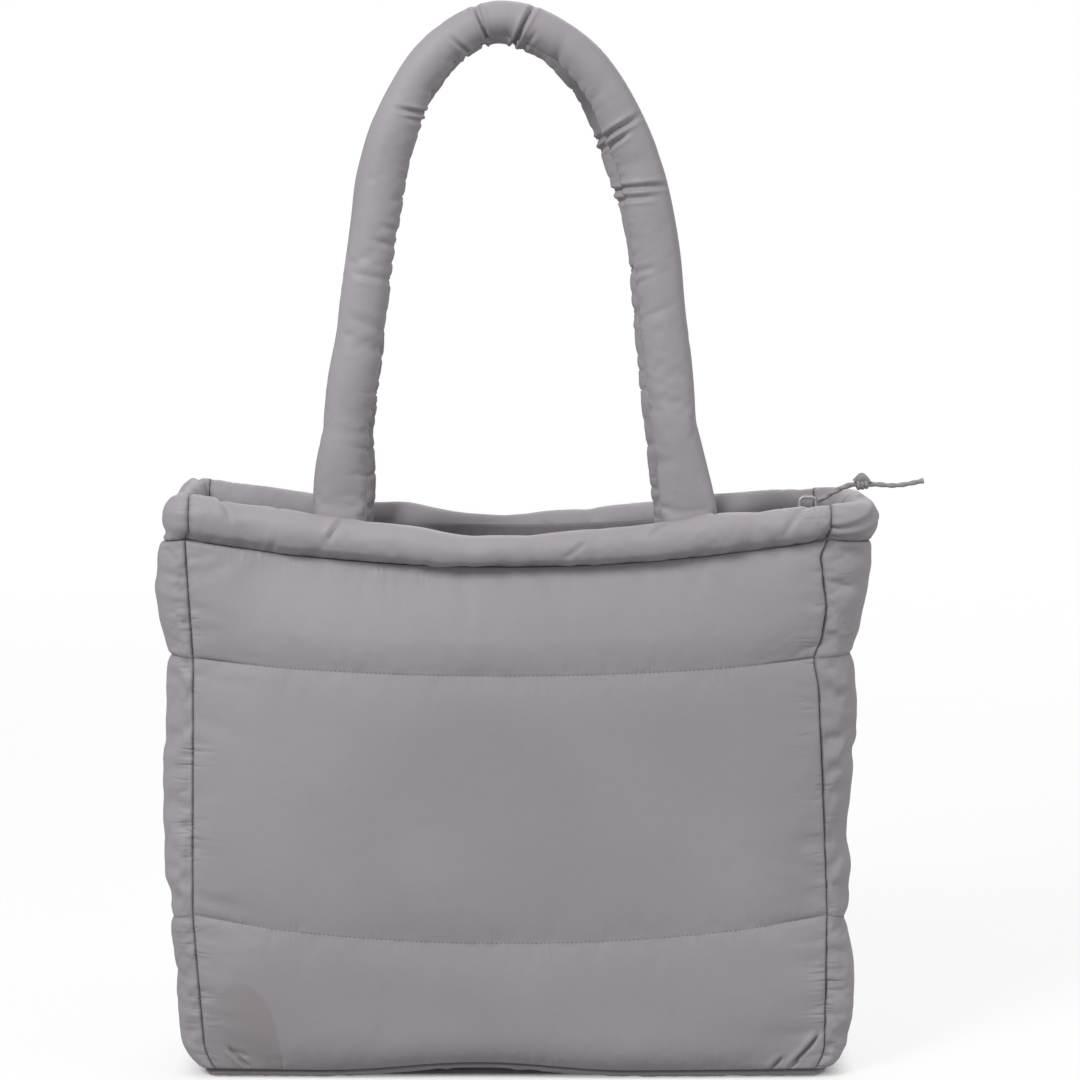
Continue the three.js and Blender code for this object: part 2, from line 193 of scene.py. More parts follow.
def gridShell(name, outer, inner, materials, uvs, values=None):
    # a closed wall from its outer and inner grids of points, each rows x columns x 3
    rows, columns = outer.shape[:2]
    count = rows * columns
    points = np.concatenate([outer.reshape(-1, 3), inner.reshape(-1, 3)])
    index = np.arange(count).reshape(rows, columns)
    corners = [index[:-1, :-1], index[:-1, 1:], index[1:, 1:], index[1:, :-1]]
    front = np.stack([corner.ravel() for corner in corners], 1)
    edge = np.concatenate([index[0, :], index[1:, -1], index[-1, -2::-1], index[-2:0:-1, 0]])
    after = np.roll(edge, -1)
    rim = np.stack([after, edge, edge + count, after + count], 1)
    faces = np.concatenate([front, front[:, ::-1] + count, rim]).tolist()
    slots = [0] * len(front) + [1] * len(front) + [0] * len(rim)
    values = values or {"seam": 0 * outer[..., 0]}
    doubled = {key: np.concatenate([column.ravel(), column.ravel()]) for key, column in values.items()}
    cloth = np.concatenate([uvs.reshape(-1, 2), uvs.reshape(-1, 2)])
    return linkMesh(name, points, faces, materials, slots, cloth, doubled)


def tubeShell(name, rings, material, uvs, values=None):
    # a closed tube from its rings of points, stations x sides x 3; the last column is joined to the first
    stations, sides = rings.shape[:2]
    index = np.arange(stations * sides).reshape(stations, sides)
    beside = np.roll(index, -1, axis=1)
    faces = np.stack(
        [index[:-1].ravel(), beside[:-1].ravel(), beside[1:].ravel(), index[1:].ravel()], 1
    ).tolist()
    points = rings.reshape(-1, 3)
    middles = np.array([rings[0].mean(0), rings[-1].mean(0)])
    first, last = len(points), len(points) + 1
    faces += [(int(b), int(a), first) for a, b in zip(index[0], beside[0])]
    faces += [(int(a), int(b), last) for a, b in zip(index[-1], beside[-1])]
    points = np.concatenate([points, middles])
    ends = np.array([uvs[0].mean(0), uvs[-1].mean(0)])
    cloth = np.concatenate([uvs.reshape(-1, 2), ends])
    values = values or {"seam": 0 * rings[..., 0]}
    columns = {
        key: np.concatenate([column.ravel(), [column[0].mean(), column[-1].mean()]])
        for key, column in values.items()
    }
    return linkMesh(name, points, faces, [material], None, cloth, columns)


def finished(thing, node):
    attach(thing, "root")
    if node:
        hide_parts(node)
    return thing


def putNode(tree, kind, settings=None, sockets=None):
    # one node: its settings first, then the values or links of its sockets
    node = tree.nodes.new(kind)
    for key, value in (settings or {}).items():
        setattr(node, key, value)
    for key, value in (sockets or {}).items():
        value = value.socket if isinstance(value, Wire) else value
        if isinstance(value, bpy.types.NodeSocket):
            tree.links.new(value, node.inputs[key])
        else:
            node.inputs[key].default_value = value
    return node


class Wire:
    def __init__(self, shader, socket):
        self.shader = shader
        self.socket = socket

    def maths(self, operation, *others):
        sockets = {0: self}
        for place, other in enumerate(others):
            sockets[place + 1] = other
        return self.shader.add("ShaderNodeMath", {"operation": operation}, sockets)

    def __add__(self, other):
        return self.maths("ADD", other)

    def __mul__(self, other):
        return self.maths("MULTIPLY", other)

    def __sub__(self, other):
        return self.maths("SUBTRACT", other)

    def __rsub__(self, other):
        return (self * -1) + other

    __radd__ = __add__
    __rmul__ = __mul__

    def sine(self):
        return self.maths("SINE")

    def power(self, other):
        return self.maths("POWER", other)

    def size(self):
        return self.maths("ABSOLUTE")

    def clipped(self):
        return self.shader.add("ShaderNodeClamp", {}, {"Value": self})

    def ramp(self, low, high):
        sockets = {"Value": self, "From Min": low, "From Max": high}
        return self.shader.add("ShaderNodeMapRange", {"interpolation_type": "SMOOTHSTEP"}, sockets)


class Shader:
    def __init__(self, name):
        self.material = bpy.data.materials.new(name)
        self.material.use_nodes = True
        self.tree = self.material.node_tree
        self.tree.nodes.clear()

    def add(self, kind, settings=None, sockets=None, output=0):
        node = putNode(self.tree, kind, settings, sockets)
        return Wire(self, node.outputs[output]) if len(node.outputs) else None

    def objectPlace(self):
        return self.add("ShaderNodeTexCoord", output="Object")

    def clothPlace(self):
        spot = self.add("ShaderNodeUVMap", {"uv_map": "cloth"}, output="UV")
        return spot, self.axes(spot)

    def axes(self, vector):
        node = putNode(self.tree, "ShaderNodeSeparateXYZ", {}, {0: vector})
        return [Wire(self, output) for output in node.outputs]

    def noise(self, place, scale, detail=3.0, rough=0.55):
        sockets = {"Vector": place, "Scale": scale, "Detail": detail, "Roughness": rough}
        return self.add("ShaderNodeTexNoise", {}, sockets)

    def value(self, name):
        return self.add("ShaderNodeAttribute", {"attribute_name": name}, output="Fac")

    def colours(self, share, a, b):
        return self.add("ShaderNodeMix", {"data_type": "RGBA"}, {0: share, 6: a, 7: b}, output=2)

    def bump(self, height, strength, distance, normal=None):
        sockets = {"Height": height, "Strength": strength, "Distance": distance}
        if normal:
            sockets["Normal"] = normal
        return self.add("ShaderNodeBump", {}, sockets)

    def surface(self, colour, roughness, normal=None, **others):
        sockets = {"Base Color": colour, "Roughness": roughness, **others}
        if normal:
            sockets["Normal"] = normal
        body = self.add("ShaderNodeBsdfPrincipled", {}, sockets)
        self.add("ShaderNodeOutputMaterial", {}, {"Surface": body})
        return self.material


def rgb(red, green, blue):
    # a screen colour out of 255, as the linear colour that the shader wants
    parts = []
    for value in (red, green, blue):
        share = value / 255
        parts.append(share / 12.92 if share <= 0.04045 else ((share + 0.055) / 1.055) ** 2.4)
    return (*parts, 1.0)


nylonLook = {
    "tone": rgb(160, 155, 161),
    "shade": rgb(153, 148, 153),
    # painted shade: the colour that the cloth is darkened to in the grooves along its seams
    "seamGrooveShade": rgb(96, 91, 95),
    "speck": rgb(122, 117, 121),
    "weave": 0.55,  # millimetres between threads
    "roughness": 0.56,
}
nylonSheen = {
    "Sheen Weight": 0.22,
    "Sheen Roughness": 0.42,
    "Sheen Tint": rgb(214, 208, 214),
    "Specular IOR Level": 0.32,
}


def nylon(name, tone, shade, worn=None):
    shader = Shader(name)
    place = shader.objectPlace()
    cloth, (along, up, _) = shader.clothPlace()
    seam = shader.value("seam")
    cloud = shader.noise(place, 7.0, 2.0, 0.5)
    fine = shader.noise(place, 95.0, 4.0, 0.6)
    colour = shader.colours(cloud.ramp(0.3, 0.7), shade, tone)
    colour = shader.colours((fine - 0.5).size() * 0.28, colour, nylonLook["speck"])
    # worn, where it is given, changes the colour further; for the front it darkens a faint dome low on its
    # left
    if worn:
        colour = worn(shader, place, colour)
    # painted shade: the cloth is darkened in the grooves along its seams, as far as the seam mask reaches
    colour = shader.colours(seam * 0.5, colour, nylonLook["seamGrooveShade"])
    turns = fullTurn / (nylonLook["weave"] * mm)
    threads = (along * turns).sine() * (up * turns).sine()
    drift = shader.noise(place, 300.0, 3.0, 0.6)
    crumple = shader.noise(cloth, 55.0, 4.0, 0.62)
    # fine pleats: upright where a row of stitches pulls the cloth, level where a corner gathers it
    drawn = shader.add("ShaderNodeCombineXYZ", {}, {0: along * 150, 1: up * 22, 2: 0.0})
    level = shader.add("ShaderNodeCombineXYZ", {}, {0: along * 26, 1: up * 170, 2: 7.0})
    strong = shader.noise(place, 45.0, 1.0, 0.5).ramp(0.46, 0.66)
    ridges = [shader.noise(way, 1.0, 1.0, 0.5) - 0.5 for way in (drawn, level)]
    lines = [(1 - ridge.size() * 6).clipped().power(1.5) for ridge in ridges]
    pleats = (lines[0] * shader.value("pulled") * 0.6 + lines[1] * shader.value("gathered")) * strong
    normal = shader.bump(crumple, 0.16, 0.0022)
    normal = shader.bump(pleats * -1, 0.65, 0.0011, normal)
    normal = shader.bump(threads * 0.6 + drift * 0.6, 0.16, 0.00012, normal)
    roughness = (fine * 0.16 + (nylonLook["roughness"] - 0.08)) + seam * 0.2
    return shader.surface(colour, roughness, normal, **nylonSheen)


# a faint darker dome in the front's colour, low on its left: its middle and half sizes in metres, and its
# colour
darkPatch = {"centre": (-0.1572, 0.003), "half": (0.0243, 0.0555), "tone": rgb(145, 139, 141)}


def darkPatched(shader, place, colour):
    # a faint darker dome low on the left of the front, with its right edge the sharper one
    x, y, z = shader.axes(place)
    wobble = (shader.noise(place, 38.0, 2.0, 0.5) - 0.5) * 0.22
    across = (x - darkPatch["centre"][0]) * (1 / darkPatch["half"][0])
    up = (z - darkPatch["centre"][1]) * (1 / darkPatch["half"][1])
    away = (across.power(2.0) + up.size().power(2.4)) + wobble
    inside = 1 - away.ramp(0.9, 1.04)
    leftFade = across.ramp(-1.0, 0.6) * 0.35 + 0.65
    front = 1 - y.ramp(-0.045, -0.04)
    return shader.colours(inside * leftFade * front * 0.8, colour, darkPatch["tone"])


shellCloth = nylon("shellNylon", nylonLook["tone"], nylonLook["shade"])
frontCloth = nylon("frontNylon", nylonLook["tone"], nylonLook["shade"], darkPatched)
liningCloth = nylon("liningNylon", rgb(128, 121, 124), rgb(116, 109, 112))


def threadMaterial(name, tone):
    shader = Shader(name)
    place = shader.objectPlace()
    grain = shader.noise(place, 900.0, 3.0, 0.6)
    colour = shader.colours(grain.ramp(0.3, 0.7), tone, rgb(120, 115, 119))
    return shader.surface(colour, grain * 0.2 + 0.6, shader.bump(grain, 0.4, 0.0002))


quiltThread = threadMaterial("quiltThread", rgb(126, 121, 125))
seamThread = threadMaterial("seamThread", rgb(70, 65, 69))


def metalMaterial(name, tone, worn):
    shader = Shader(name)
    place = shader.objectPlace()
    rub = shader.noise(place, 260.0, 4.0, 0.6)
    cloud = shader.noise(place, 60.0, 2.0, 0.5)
    colour = shader.colours(rub.ramp(0.56, 0.72) * 0.7, tone, worn)
    metallic = rub.ramp(0.5, 0.75) * 0.4 + 0.35
    return shader.surface(colour, cloud * 0.22 + 0.3, shader.bump(rub, 0.12, 0.0002), Metallic=metallic)


def woven(name, pattern, looks):
    # a coarse cloth: its own pattern of ribs or strands, and the fuzz on it
    shader = Shader(name)
    _, (along, up, _) = shader.clothPlace()
    place = shader.objectPlace()
    ribs = pattern(along, up)
    fuzz = shader.noise(place, looks["fuzz"], 4.0, 0.6)
    colour = shader.colours((ribs * 0.5 + 0.5) * looks["depth"], looks["tone"], looks["shade"])
    colour = shader.colours(fuzz.ramp(*looks["worn"]) * looks["dust"], colour, looks["dustTone"])
    normal = shader.bump(ribs, *looks["ribs"])
    normal = shader.bump(fuzz, looks["nap"], 0.0003, normal)
    return shader.surface(colour, fuzz * 0.2 + looks["roughness"], normal)


def tapePattern(along, up):
    return (along * (fullTurn / (0.9 * mm)) + (up * (fullTurn / (1.4 * mm))).sine() * 1.4).sine()


def cordPattern(along, up):
    return (along * (fullTurn / (1.5 * mm)) + up * (fullTurn / (2.4 * mm))).sine()


# the tape's own grey, with painted shade: both its colours are darkened further for the shade inside the
# bag's mouth, where it hangs
shadedTapeLook = {
    "tone": rgb(134, 129, 133),
    "shade": rgb(116, 111, 115),
    "dustTone": rgb(104, 99, 103),
    "fuzz": 240.0,
    "depth": 0.4,
    "worn": (0.35, 0.75),
    "dust": 0.25,
    "ribs": (0.35, 0.00025),
    "nap": 0.2,
    "roughness": 0.68,
}
cordLook = {
    "tone": rgb(148, 143, 146),
    "shade": rgb(176, 171, 174),
    "dustTone": rgb(122, 117, 121),
    "fuzz": 500.0,
    "depth": 0.6,
    "worn": (0.4, 0.8),
    "dust": 0.4,
    "ribs": (0.5, 0.0003),
    "nap": 0.3,
    "roughness": 0.62,
}

shadedTapeCloth = woven("zipTapeWeave", tapePattern, shadedTapeLook)
zipMetal = metalMaterial("zipMetal", rgb(184, 181, 184), rgb(216, 214, 216))
toothPlastic = metalMaterial("zipTeeth", rgb(112, 108, 112), rgb(138, 134, 138))
cordCloth = woven("pullCordBraid", cordPattern, cordLook)
print("materials made")

body = {
    "width": 364,
    "depth": 104,
    "height": 311,
    "baseSeam": 6,
    "baseArch": 5,
    "archCentre": -0.12,
    "archHalf": 0.5,
    "sag": 15,
    "bow": 8,
    "reach": 20,
    "facePuff": 9,
    "endPuff": 5,
    "liningPuff": 4,
    "seamHalf": 1.0,
    "gap": 0.3,
}

# height is a share of the body's height; sags of sag; corner seams of half the width; reaches of reach
levels = table(
    "height faceSag endSag bow seams reaches",
    (0.0, 0.0, 0.0, 0.5, (0.973, 0.973), (0.65, 0.68)),
    (0.296, 0.9, 0.5, 0.8, (1.011, 0.978), (0.82, 0.69)),
    (0.781, 0.55, 0.0, 0.9, (0.998, 0.937), (0.97, 1.14)),
    (1.0, 1.0, 0.25, 0.6, (1.022, 0.962), (0.85, 1.4)),
)
rimLine = {"seams": (1.003, 0.973), "reaches": (0.6, 1.08), "bow": 1.1}

channels = table(
    "face left right",
    (0.95, 1.0, 1.2), (1.0, 0.8, 0.6), (1.1, 1.3, 0.8),
)
dents = table(
    "side across up wide high deep",
    ("right", 0.0, 0.45, 0.9, 0.06, 0.9),
    ("front", 0.93, 0.05, 0.1, 0.08, 0.5),
    ("front", -0.9, 0.04, 0.1, 0.06, 0.4),
)
sides = {
    "front": {"outward": -1, "face": True, "puff": "face"},
    "back": {"outward": 1, "face": True, "puff": "face"},
    "left": {"outward": -1, "face": False, "puff": "left", "corner": 0},
    "right": {"outward": 1, "face": False, "puff": "right", "corner": 1},
}


def archAt(across):
    share = np.abs(across - body["archCentre"]) / body["archHalf"]
    return np.where(share < 1, body["baseArch"] * np.cos(np.minimum(share, 1) * math.pi / 2) ** 2, 0)


def heightAt(level, side, along):
    free = 1 - along * along
    corner = mix(body["baseSeam"], body["height"], level["height"])
    if not side["face"]:
        return corner - body["sag"] * level["endSag"] * free
    arch = archAt(-side["outward"] * along) if level is levels[0] else 0
    return corner - body["sag"] * level["faceSag"] * free + arch


def planAt(level, side, along):
    # the middle of a wall in plan, and the way that it faces: x, y, normal x, normal y
    outward = side["outward"]
    if side["face"]:
        left, right = [share * body["width"] / 2 - body["gap"] for share in level["seams"]]
        across = -outward * along
        bow = body["bow"] * level["bow"] * (1 - along * along)
        x = mix(-left, right, (across + 1) / 2)
        y = outward * (body["depth"] / 2 + bow)
        return x, y, np.zeros_like(along), np.full_like(along, outward)
    radius = level["reaches"][side["corner"]] * body["reach"]
    flat = body["depth"] / 2 - radius
    distance = np.abs(along) * (flat + radius * math.pi / 2)
    turn = np.maximum(0, distance - flat) / radius
    way = np.sign(along) * outward
    seam = level["seams"][side["corner"]] * body["width"] / 2
    x = outward * (seam + radius * np.cos(turn))
    y = way * (np.minimum(distance, flat) + radius * np.sin(turn))
    return x, y, outward * np.cos(turn), way * np.sin(turn)


# how far the front right corner's seam strays sideways at a height
cornerSway = table(
    "height right",
    (225, 0.0), (243, -1.8), (258, 1.6), (272, 2.6),
    (291, -0.6), (301, -2.6), (311, 0.0),
)

# the way along each wall to that seam, and where on it the sway starts
swayShares = {"front": (1, 0.8), "right": (-1, 0.2)}

wallLook = {
    "faceRows": 60,  # in each channel
    "endRows": 84,
    "faceColumns": 232,
    "endColumns": 76,
    "quilt": pucker(3.8, 6.0, 0.26, 0.95),
    "quiltWide": pucker(15.0, 12.0, 0.35, 2.6),
    "corner": pucker(4.6, 8.5, 0.55, 1.15),
    "cornerWide": pucker(17.0, 18.0, 0.8, 3.2),
    "gusset": pucker(6.0, 15.0, 0.8, 1.6),
    "gussetWide": pucker(16.0, 30.0, 1.3, 3.4),
    "underRim": pucker(24.0, 16.0, 0.8, 4.4),
    "lining": pucker(14.0, 26.0, 1.5, 3.4),
    "swell": 0.8,
    "lift": 6.8,  # how much of the puff the quilting seams keep in the middle of a face
    # the top channel: where it is fullest, how it swells below and thins above there, and its size
    "fullest": 0.34,
    "under": 1.7,
    "over": 0.75,
    "most": 1.22,
    "plump": 2.5,  # how flat the other channels are in the middle
    "line": 0.6,  # how far the painted shade in a seam's groove reaches
    "cornerLine": 0.42,
    "tuck": 10.0,  # how far the ends round in towards the floor, and from what height
    "tuckFrom": 22.0,
}


# how far the padded ends are drawn in past their corner seams, at a height
endTrim = table(
    "height left right",
    (0, 6.5, 2.5), (20, 5.5, 4.5), (38, 7.2, 4.0),
    (56, 8.6, 4.0), (86, 4.8, 4.8), (101, 5.2, 3.4),
    (117, 3.0, 3.4), (141, 3.4, 6.0), (165, 4.7, 5.6),
    (181, 5.0, 4.4), (200, 6.0, 1.8), (212, 6.2, 1.8),
    (236, 5.6, 2.3), (252, 7.2, 3.6), (268, 5.6, 4.6),
    (283, 4.0, 3.4), (300, 4.5, 2.4), (335, 3.4, 1.0),
)


def tucked(x, z):
    # the ends drawn in, and the bottom corners rounded in towards the floor
    near = (1 - np.clip(z / wallLook["tuckFrom"], 0, 1)) ** 2
    left = between(endTrim, "height", "left", z) * smooth(-x, 181, 201)
    right = between(endTrim, "height", "right", z) * smooth(x, 174, 194)
    return x + left - right - np.sign(x) * wallLook["tuck"] * near * smooth(np.abs(x), 120, 185)


def wallForm(sideName, along, k, rise):
    # the plain padded form of a wall's channel k: rows of rise from its lower seam to its upper one
    side = sides[sideName]
    low, high = planAt(levels[k], side, along), planAt(levels[k + 1], side, along)
    lowZ, highZ = heightAt(levels[k], side, along), heightAt(levels[k + 1], side, along)
    x, y, nx, ny = [mix(a, b, rise) for a, b in zip(low, high)]
    z = mix(lowZ, highZ, rise)
    if side["face"]:
        spot = x * -side["outward"]
        acrossSwell = (1 - along * along).clip(0) ** 0.3
    else:
        steps = np.hypot(np.diff(x, axis=1, prepend=x[:, :1]), np.diff(y, axis=1, prepend=y[:, :1]))
        spot = np.cumsum(steps, axis=1)
        spot = spot - spot[:, len(along) // 2, None]
        acrossSwell = np.cos(along * math.pi / 2).clip(0) ** 0.6
    turn = np.arccos(1 - 2 * rise)
    full = 1 - (1 - 4 * rise * (1 - rise)).clip(0) ** wallLook["plump"]
    if k == len(channels) - 1:
        under = 1 - (1 - rise / wallLook["fullest"]).clip(0) ** wallLook["under"]
        full = under * (1 - rise) ** wallLook["over"] * wallLook["most"]
    sharp = smooth(np.abs(along), 0.7, 1.0)
    swell = mix(full, np.sin(turn).clip(0) ** 0.8, sharp if side["face"] else 1) * acrossSwell
    lowerShare = smooth(rise, 0, 1) if k == 0 else 1
    upperShare = 1 - smooth(rise, 0, 1) if k == len(channels) - 1 else 1
    lift = wallLook["lift"] * (1 - sharp) * lowerShare * upperShare * (1 - swell) if side["face"] else 0
    dent = np.zeros_like(z)
    for row in dents:
        if row["side"] == sideName:
            far = ((along - row["across"]) / row["wide"]) ** 2
            far = far + ((z / body["height"] - row["up"]) / row["high"]) ** 2
            dent = dent + row["deep"] * np.exp(-far)
    puff = (body["facePuff"] if side["face"] else body["endPuff"]) * channels[k][side["puff"]]
    if sideName in swayShares:
        sign, start = swayShares[sideName]
        x = x + smooth(sign * along, start, 1.0) * between(cornerSway, "height", "right", z)
    return {
        "middle": np.stack([tucked(x, z), y, z], -1),
        "normal": np.stack([nx, ny, np.zeros_like(nx)], -1),
        "spot": spot + 0 * z,
        "z": z,
        "below": z - lowZ,
        "above": highZ - z,
        "swell": swell,
        "puff": puff * np.maximum(0.05, 1 - dent) * swell + lift,
    }


# creases pressed into the front near its bottom corners: across and up it
wallFolds = {
    "front": table(
        "start end depth width",
        ((-164, 19), (-154.5, 6), 1.5, 1.1), ((-161, 17), (-153, 14), 0.7, 1.2),
        ((173, 26), (159, 8), 1.7, 1.1), ((153, 13), (147, 5), 1.4, 1.2),
        ((164, 11), (158, 4), 1.0, 1.2),
    ),
}


def wallGrids(sideName, seed, settled):
    side = sides[sideName]
    kind = "face" if side["face"] else "end"
    columns, rows = wallLook[kind + "Columns"], wallLook[kind + "Rows"]
    u = np.linspace(-1, 1, columns + 1)
    along = mix(u, np.sin(u * math.pi / 2), 0.5) if side["face"] else u
    tight, wide = ("corner", "cornerWide") if side["face"] else ("gusset", "gussetWide")
    quiet = mix(0.12, 0.85, smooth(np.abs(along), 0.72, 0.97)) if side["face"] else 0.85
    parts = []
    for k in range(len(channels)):
        top = k == len(channels) - 1
        t = np.linspace(0, 1, rows + 1)[: rows + top, None]
        rise = mix(t, (1 - np.cos(math.pi * t)) / 2, 0.65)
        form = wallForm(sideName, along, k, rise)
        spot, z, below, above, swell = [form[key] for key in ("spot", "z", "below", "above", "swell")]
        first, last = spot - spot[:, :1], spot[:, -1:] - spot
        creases = allPuckers(
            seed + k,
            (0, spot, below, wallLook["quilt"]),
            (11, spot, above, wallLook["quilt"]),
            (22, spot, below, wallLook["quiltWide"]),
            (33, spot, above, wallLook["underRim" if top else "quiltWide"]),
            (44, z, first, wallLook[tight]),
            (55, z, last, wallLook[tight]),
            (144, z, first, wallLook[wide]),
            (155, z, last, wallLook[wide]),
        )
        for crease in wallFolds.get(sideName, []) if k == 0 else []:
            creases += fold(spot, z, **crease) * 2
        lumps = wallLook["swell"] * wander(seed + k, spot, z, 62) * swell
        outward = body["seamHalf"] + form["puff"] + lumps - creases * mix(0.3, 1, smooth(swell, 0.0, 0.3))
        lining = puckers(seed + k + 66, spot, above, **wallLook["lining"])
        inward = -(body["seamHalf"] + body["liningPuff"] * swell - lining * swell)
        outer = form["middle"] + form["normal"] * outward[..., None]
        if settled is not None:
            part = settled[k * clothRun["rows"] : (k + 1) * clothRun["rows"] + 1]
            acrossWeights = cubicWeights((along + 1) / 2 * (part.shape[1] - 1), part.shape[1])
            upWeights = cubicWeights(rise[:, 0] * clothRun["rows"], clothRun["rows"] + 1)
            outer = outer + np.einsum("ri,ijd,cj->rcd", upWeights, part, acrossWeights)
        near = fading(below, wallLook["line"], 1.2) + fading(above, wallLook["line"], 1.2)
        edge = np.minimum(first, last)
        part = {
            "outer": outer,
            "inner": form["middle"] + form["normal"] * inward[..., None],
            "normal": form["normal"],
            "cloth": np.stack([spot, z], -1),
            # where the colour gets painted shade: along the quilting seams and the corner seams
            "seam": np.minimum(near * quiet + fading(edge, wallLook["cornerLine"], 1.4) * 1.25, 1),
            "pulled": fading(np.minimum(below, above), 8, 1.2) + 0 * spot,
            "gathered": fading(edge, 8 if side["face"] else 13, 1.3),
        }
        parts.append(part)
    return {key: np.concatenate([part[key] for part in parts]) for key in parts[0]}


wallPieces = {
    "front": {"name": "frontPanel", "node": "front_panel", "seed": 101, "cloth": frontCloth},
    "back": {"name": "backPanel", "node": "back_panel", "seed": 201, "cloth": shellCloth},
    "left": {"name": "leftGusset", "node": "left_gusset", "seed": 301, "cloth": shellCloth},
    "right": {"name": "rightGusset", "node": "right_gusset", "seed": 401, "cloth": shellCloth},
}
wallShapes = {}

baseLook = {
    "columns": 300,
    "rows": 44,
    "thickness": 2.4,
    "rounding": 7.0,
    "inset": (2.5, 1.2),
    "edge": pucker(11.0, 9.0, 0.8, 2.6),
    # places where the front edge is drawn up: x, half width, height
    "notches": [
        (-102, 3, 0.8),
        (-45, 2.6, 2.2),
        (-33.5, 3, 1.4),
        (-25, 4.5, 1.7),
        (-14, 5, 1.8),
        (-6, 3, 1.6),
        (10, 3.4, 1.5),
        (47.5, 3, 1.5),
        (68, 3, 0.9),
        (126, 3.4, 1.2),
    ],
}


def makeBase():
    level = levels[0]
    u = np.linspace(-1, 1, baseLook["columns"] + 1)[None, :]
    v = np.linspace(-1, 1, baseLook["rows"] + 1)[:, None]
    across = np.sin(u * math.pi / 2)
    deep = np.sin(v * math.pi / 2)
    edges = []
    for corner in (0, 1):
        radius = level["reaches"][corner] * body["reach"]
        past = np.maximum(0, np.abs(deep) * body["depth"] / 2 - (body["depth"] / 2 - radius))
        seam = level["seams"][corner] * body["width"] / 2 - body["gap"]
        edges.append(seam + np.sqrt(radius**2 - past**2))
    bow = body["bow"] * level["bow"] * (1 - across**2)
    x = mix(-edges[0], edges[1], (across + 1) / 2)
    y = -deep * (body["depth"] / 2 + bow)
    arch = archAt(across) * np.ones_like(deep)
    seamZ = body["baseSeam"] + arch * deep**2 - body["gap"]
    length = np.minimum(edges[0], edges[1])
    away = np.minimum((1 - np.abs(across)) * length, (1 - np.abs(deep)) * body["depth"] / 2)
    rounding = np.sqrt(np.clip(1 - (1 - np.clip(away / baseLook["rounding"], 0, 1)) ** 2, 0, 1))
    under = mix(seamZ - baseLook["thickness"], arch, rounding)
    fromLong = (1 - np.abs(deep)) * body["depth"] / 2 + 0 * x
    fromShort = (1 - np.abs(across)) * length + 0 * y
    creases = allPuckers(71, (0, x, fromLong, baseLook["edge"]), (1, y, fromShort, baseLook["edge"]))
    under = under + creases * smooth(away, 0.5, 4.0) * 0.8
    atFront = smooth(deep, 0.5, 0.8) * smooth(away, 0.3, 2.0)
    for place, half, height in baseLook["notches"]:
        under = under + height * np.exp(-(((x - place) / half) ** 2)) * atFront
    hollow = body["liningPuff"] * (1 - across**2) * (1 - deep**2)
    over = np.maximum(seamZ, under + baseLook["thickness"]) + hollow
    x = tucked(x + 0 * under, seamZ)
    x = x - np.sign(x) * baseLook["inset"][0] * smooth(np.abs(x), 60, 180)
    y = y - np.sign(y) * baseLook["inset"][1] * smooth(np.abs(y), 20, 50) + 0 * under
    outer = np.stack([x, y, under], -1)
    inner = np.stack([x, y, over], -1)
    # where the colour gets painted shade: along the base's edge
    seam = np.exp(-away / 1.5)
    cloth = np.stack([x, y], -1)
    thing = gridShell("basePanel", outer, inner, [shellCloth, liningCloth], cloth, {"seam": seam})
    return finished(thing, "base_panel")


makeBase()
print("base sewn")

rim = {
    "height": 24,
    "thickness": 20,
    "pinch": 0.4,
    "hang": 0.7,  # the roll hangs fuller over its seam than the plain form does
    "sides": 52,
    "faceColumns": 340,
    "endColumns": 96,
    "endPinch": 0.05,
    "seam": pucker(8.0, 9.0, 0.8, 1.8),
    "gathers": pucker(24.0, 24.0, 1.1, 3.6),
    "ends": pucker(7.0, 9.0, 0.8, 1.7),
    "swell": 0.8,
}
rimSections = table(
    "at height",
    (-1.0, 1.06), (-0.4, 0.98), (-0.1, 0.76),
    (0.35, 0.9), (0.62, 0.98), (1.0, 0.84),
)
rimEndHeights = {"left": 1.12, "right": 1.06}

# creases pressed into the roll: along it and round it from its underside, in millimetres
rimFolds = {
    "front": table(
        "start end depth width",
        ((-96, 33), (-104, 17), 1.8, 1.6), ((-84, 35), (-98, 25), 0.9, 2.0),
        ((-122, 44), (-139, 32), 1.0, 2.4), ((86, 34), (76, 22), 1.2, 1.8),
        ((116, 44), (110, 33), 1.4, 1.6), ((40, 22), (28, 13), 0.9, 2.0),
        ((166, 38), (150, 14), 1.0, 2.6), ((-168, 42), (-158, 20), 1.1, 2.4),
    ),
    "right": table(
        "start end depth width",
        ((-38, 25), (-60, 7), 1.7, 1.6), ((-30, 20), (-56, 3), 1.5, 1.5),
        ((-14, 32), (-30, 24), 0.8, 2.0), ((40, 30), (56, 12), 1.2, 2.0),
    ),
    "back": table(
        "start end depth width",
        ((-20, 56), (-8, 48), 1.4, 1.8), ((28, 58), (16, 46), 1.3, 2.0),
    ),
    "left": table(
        "start end depth width",
        ((44, 40), (58, 22), 1.2, 2.0),
    ),
}


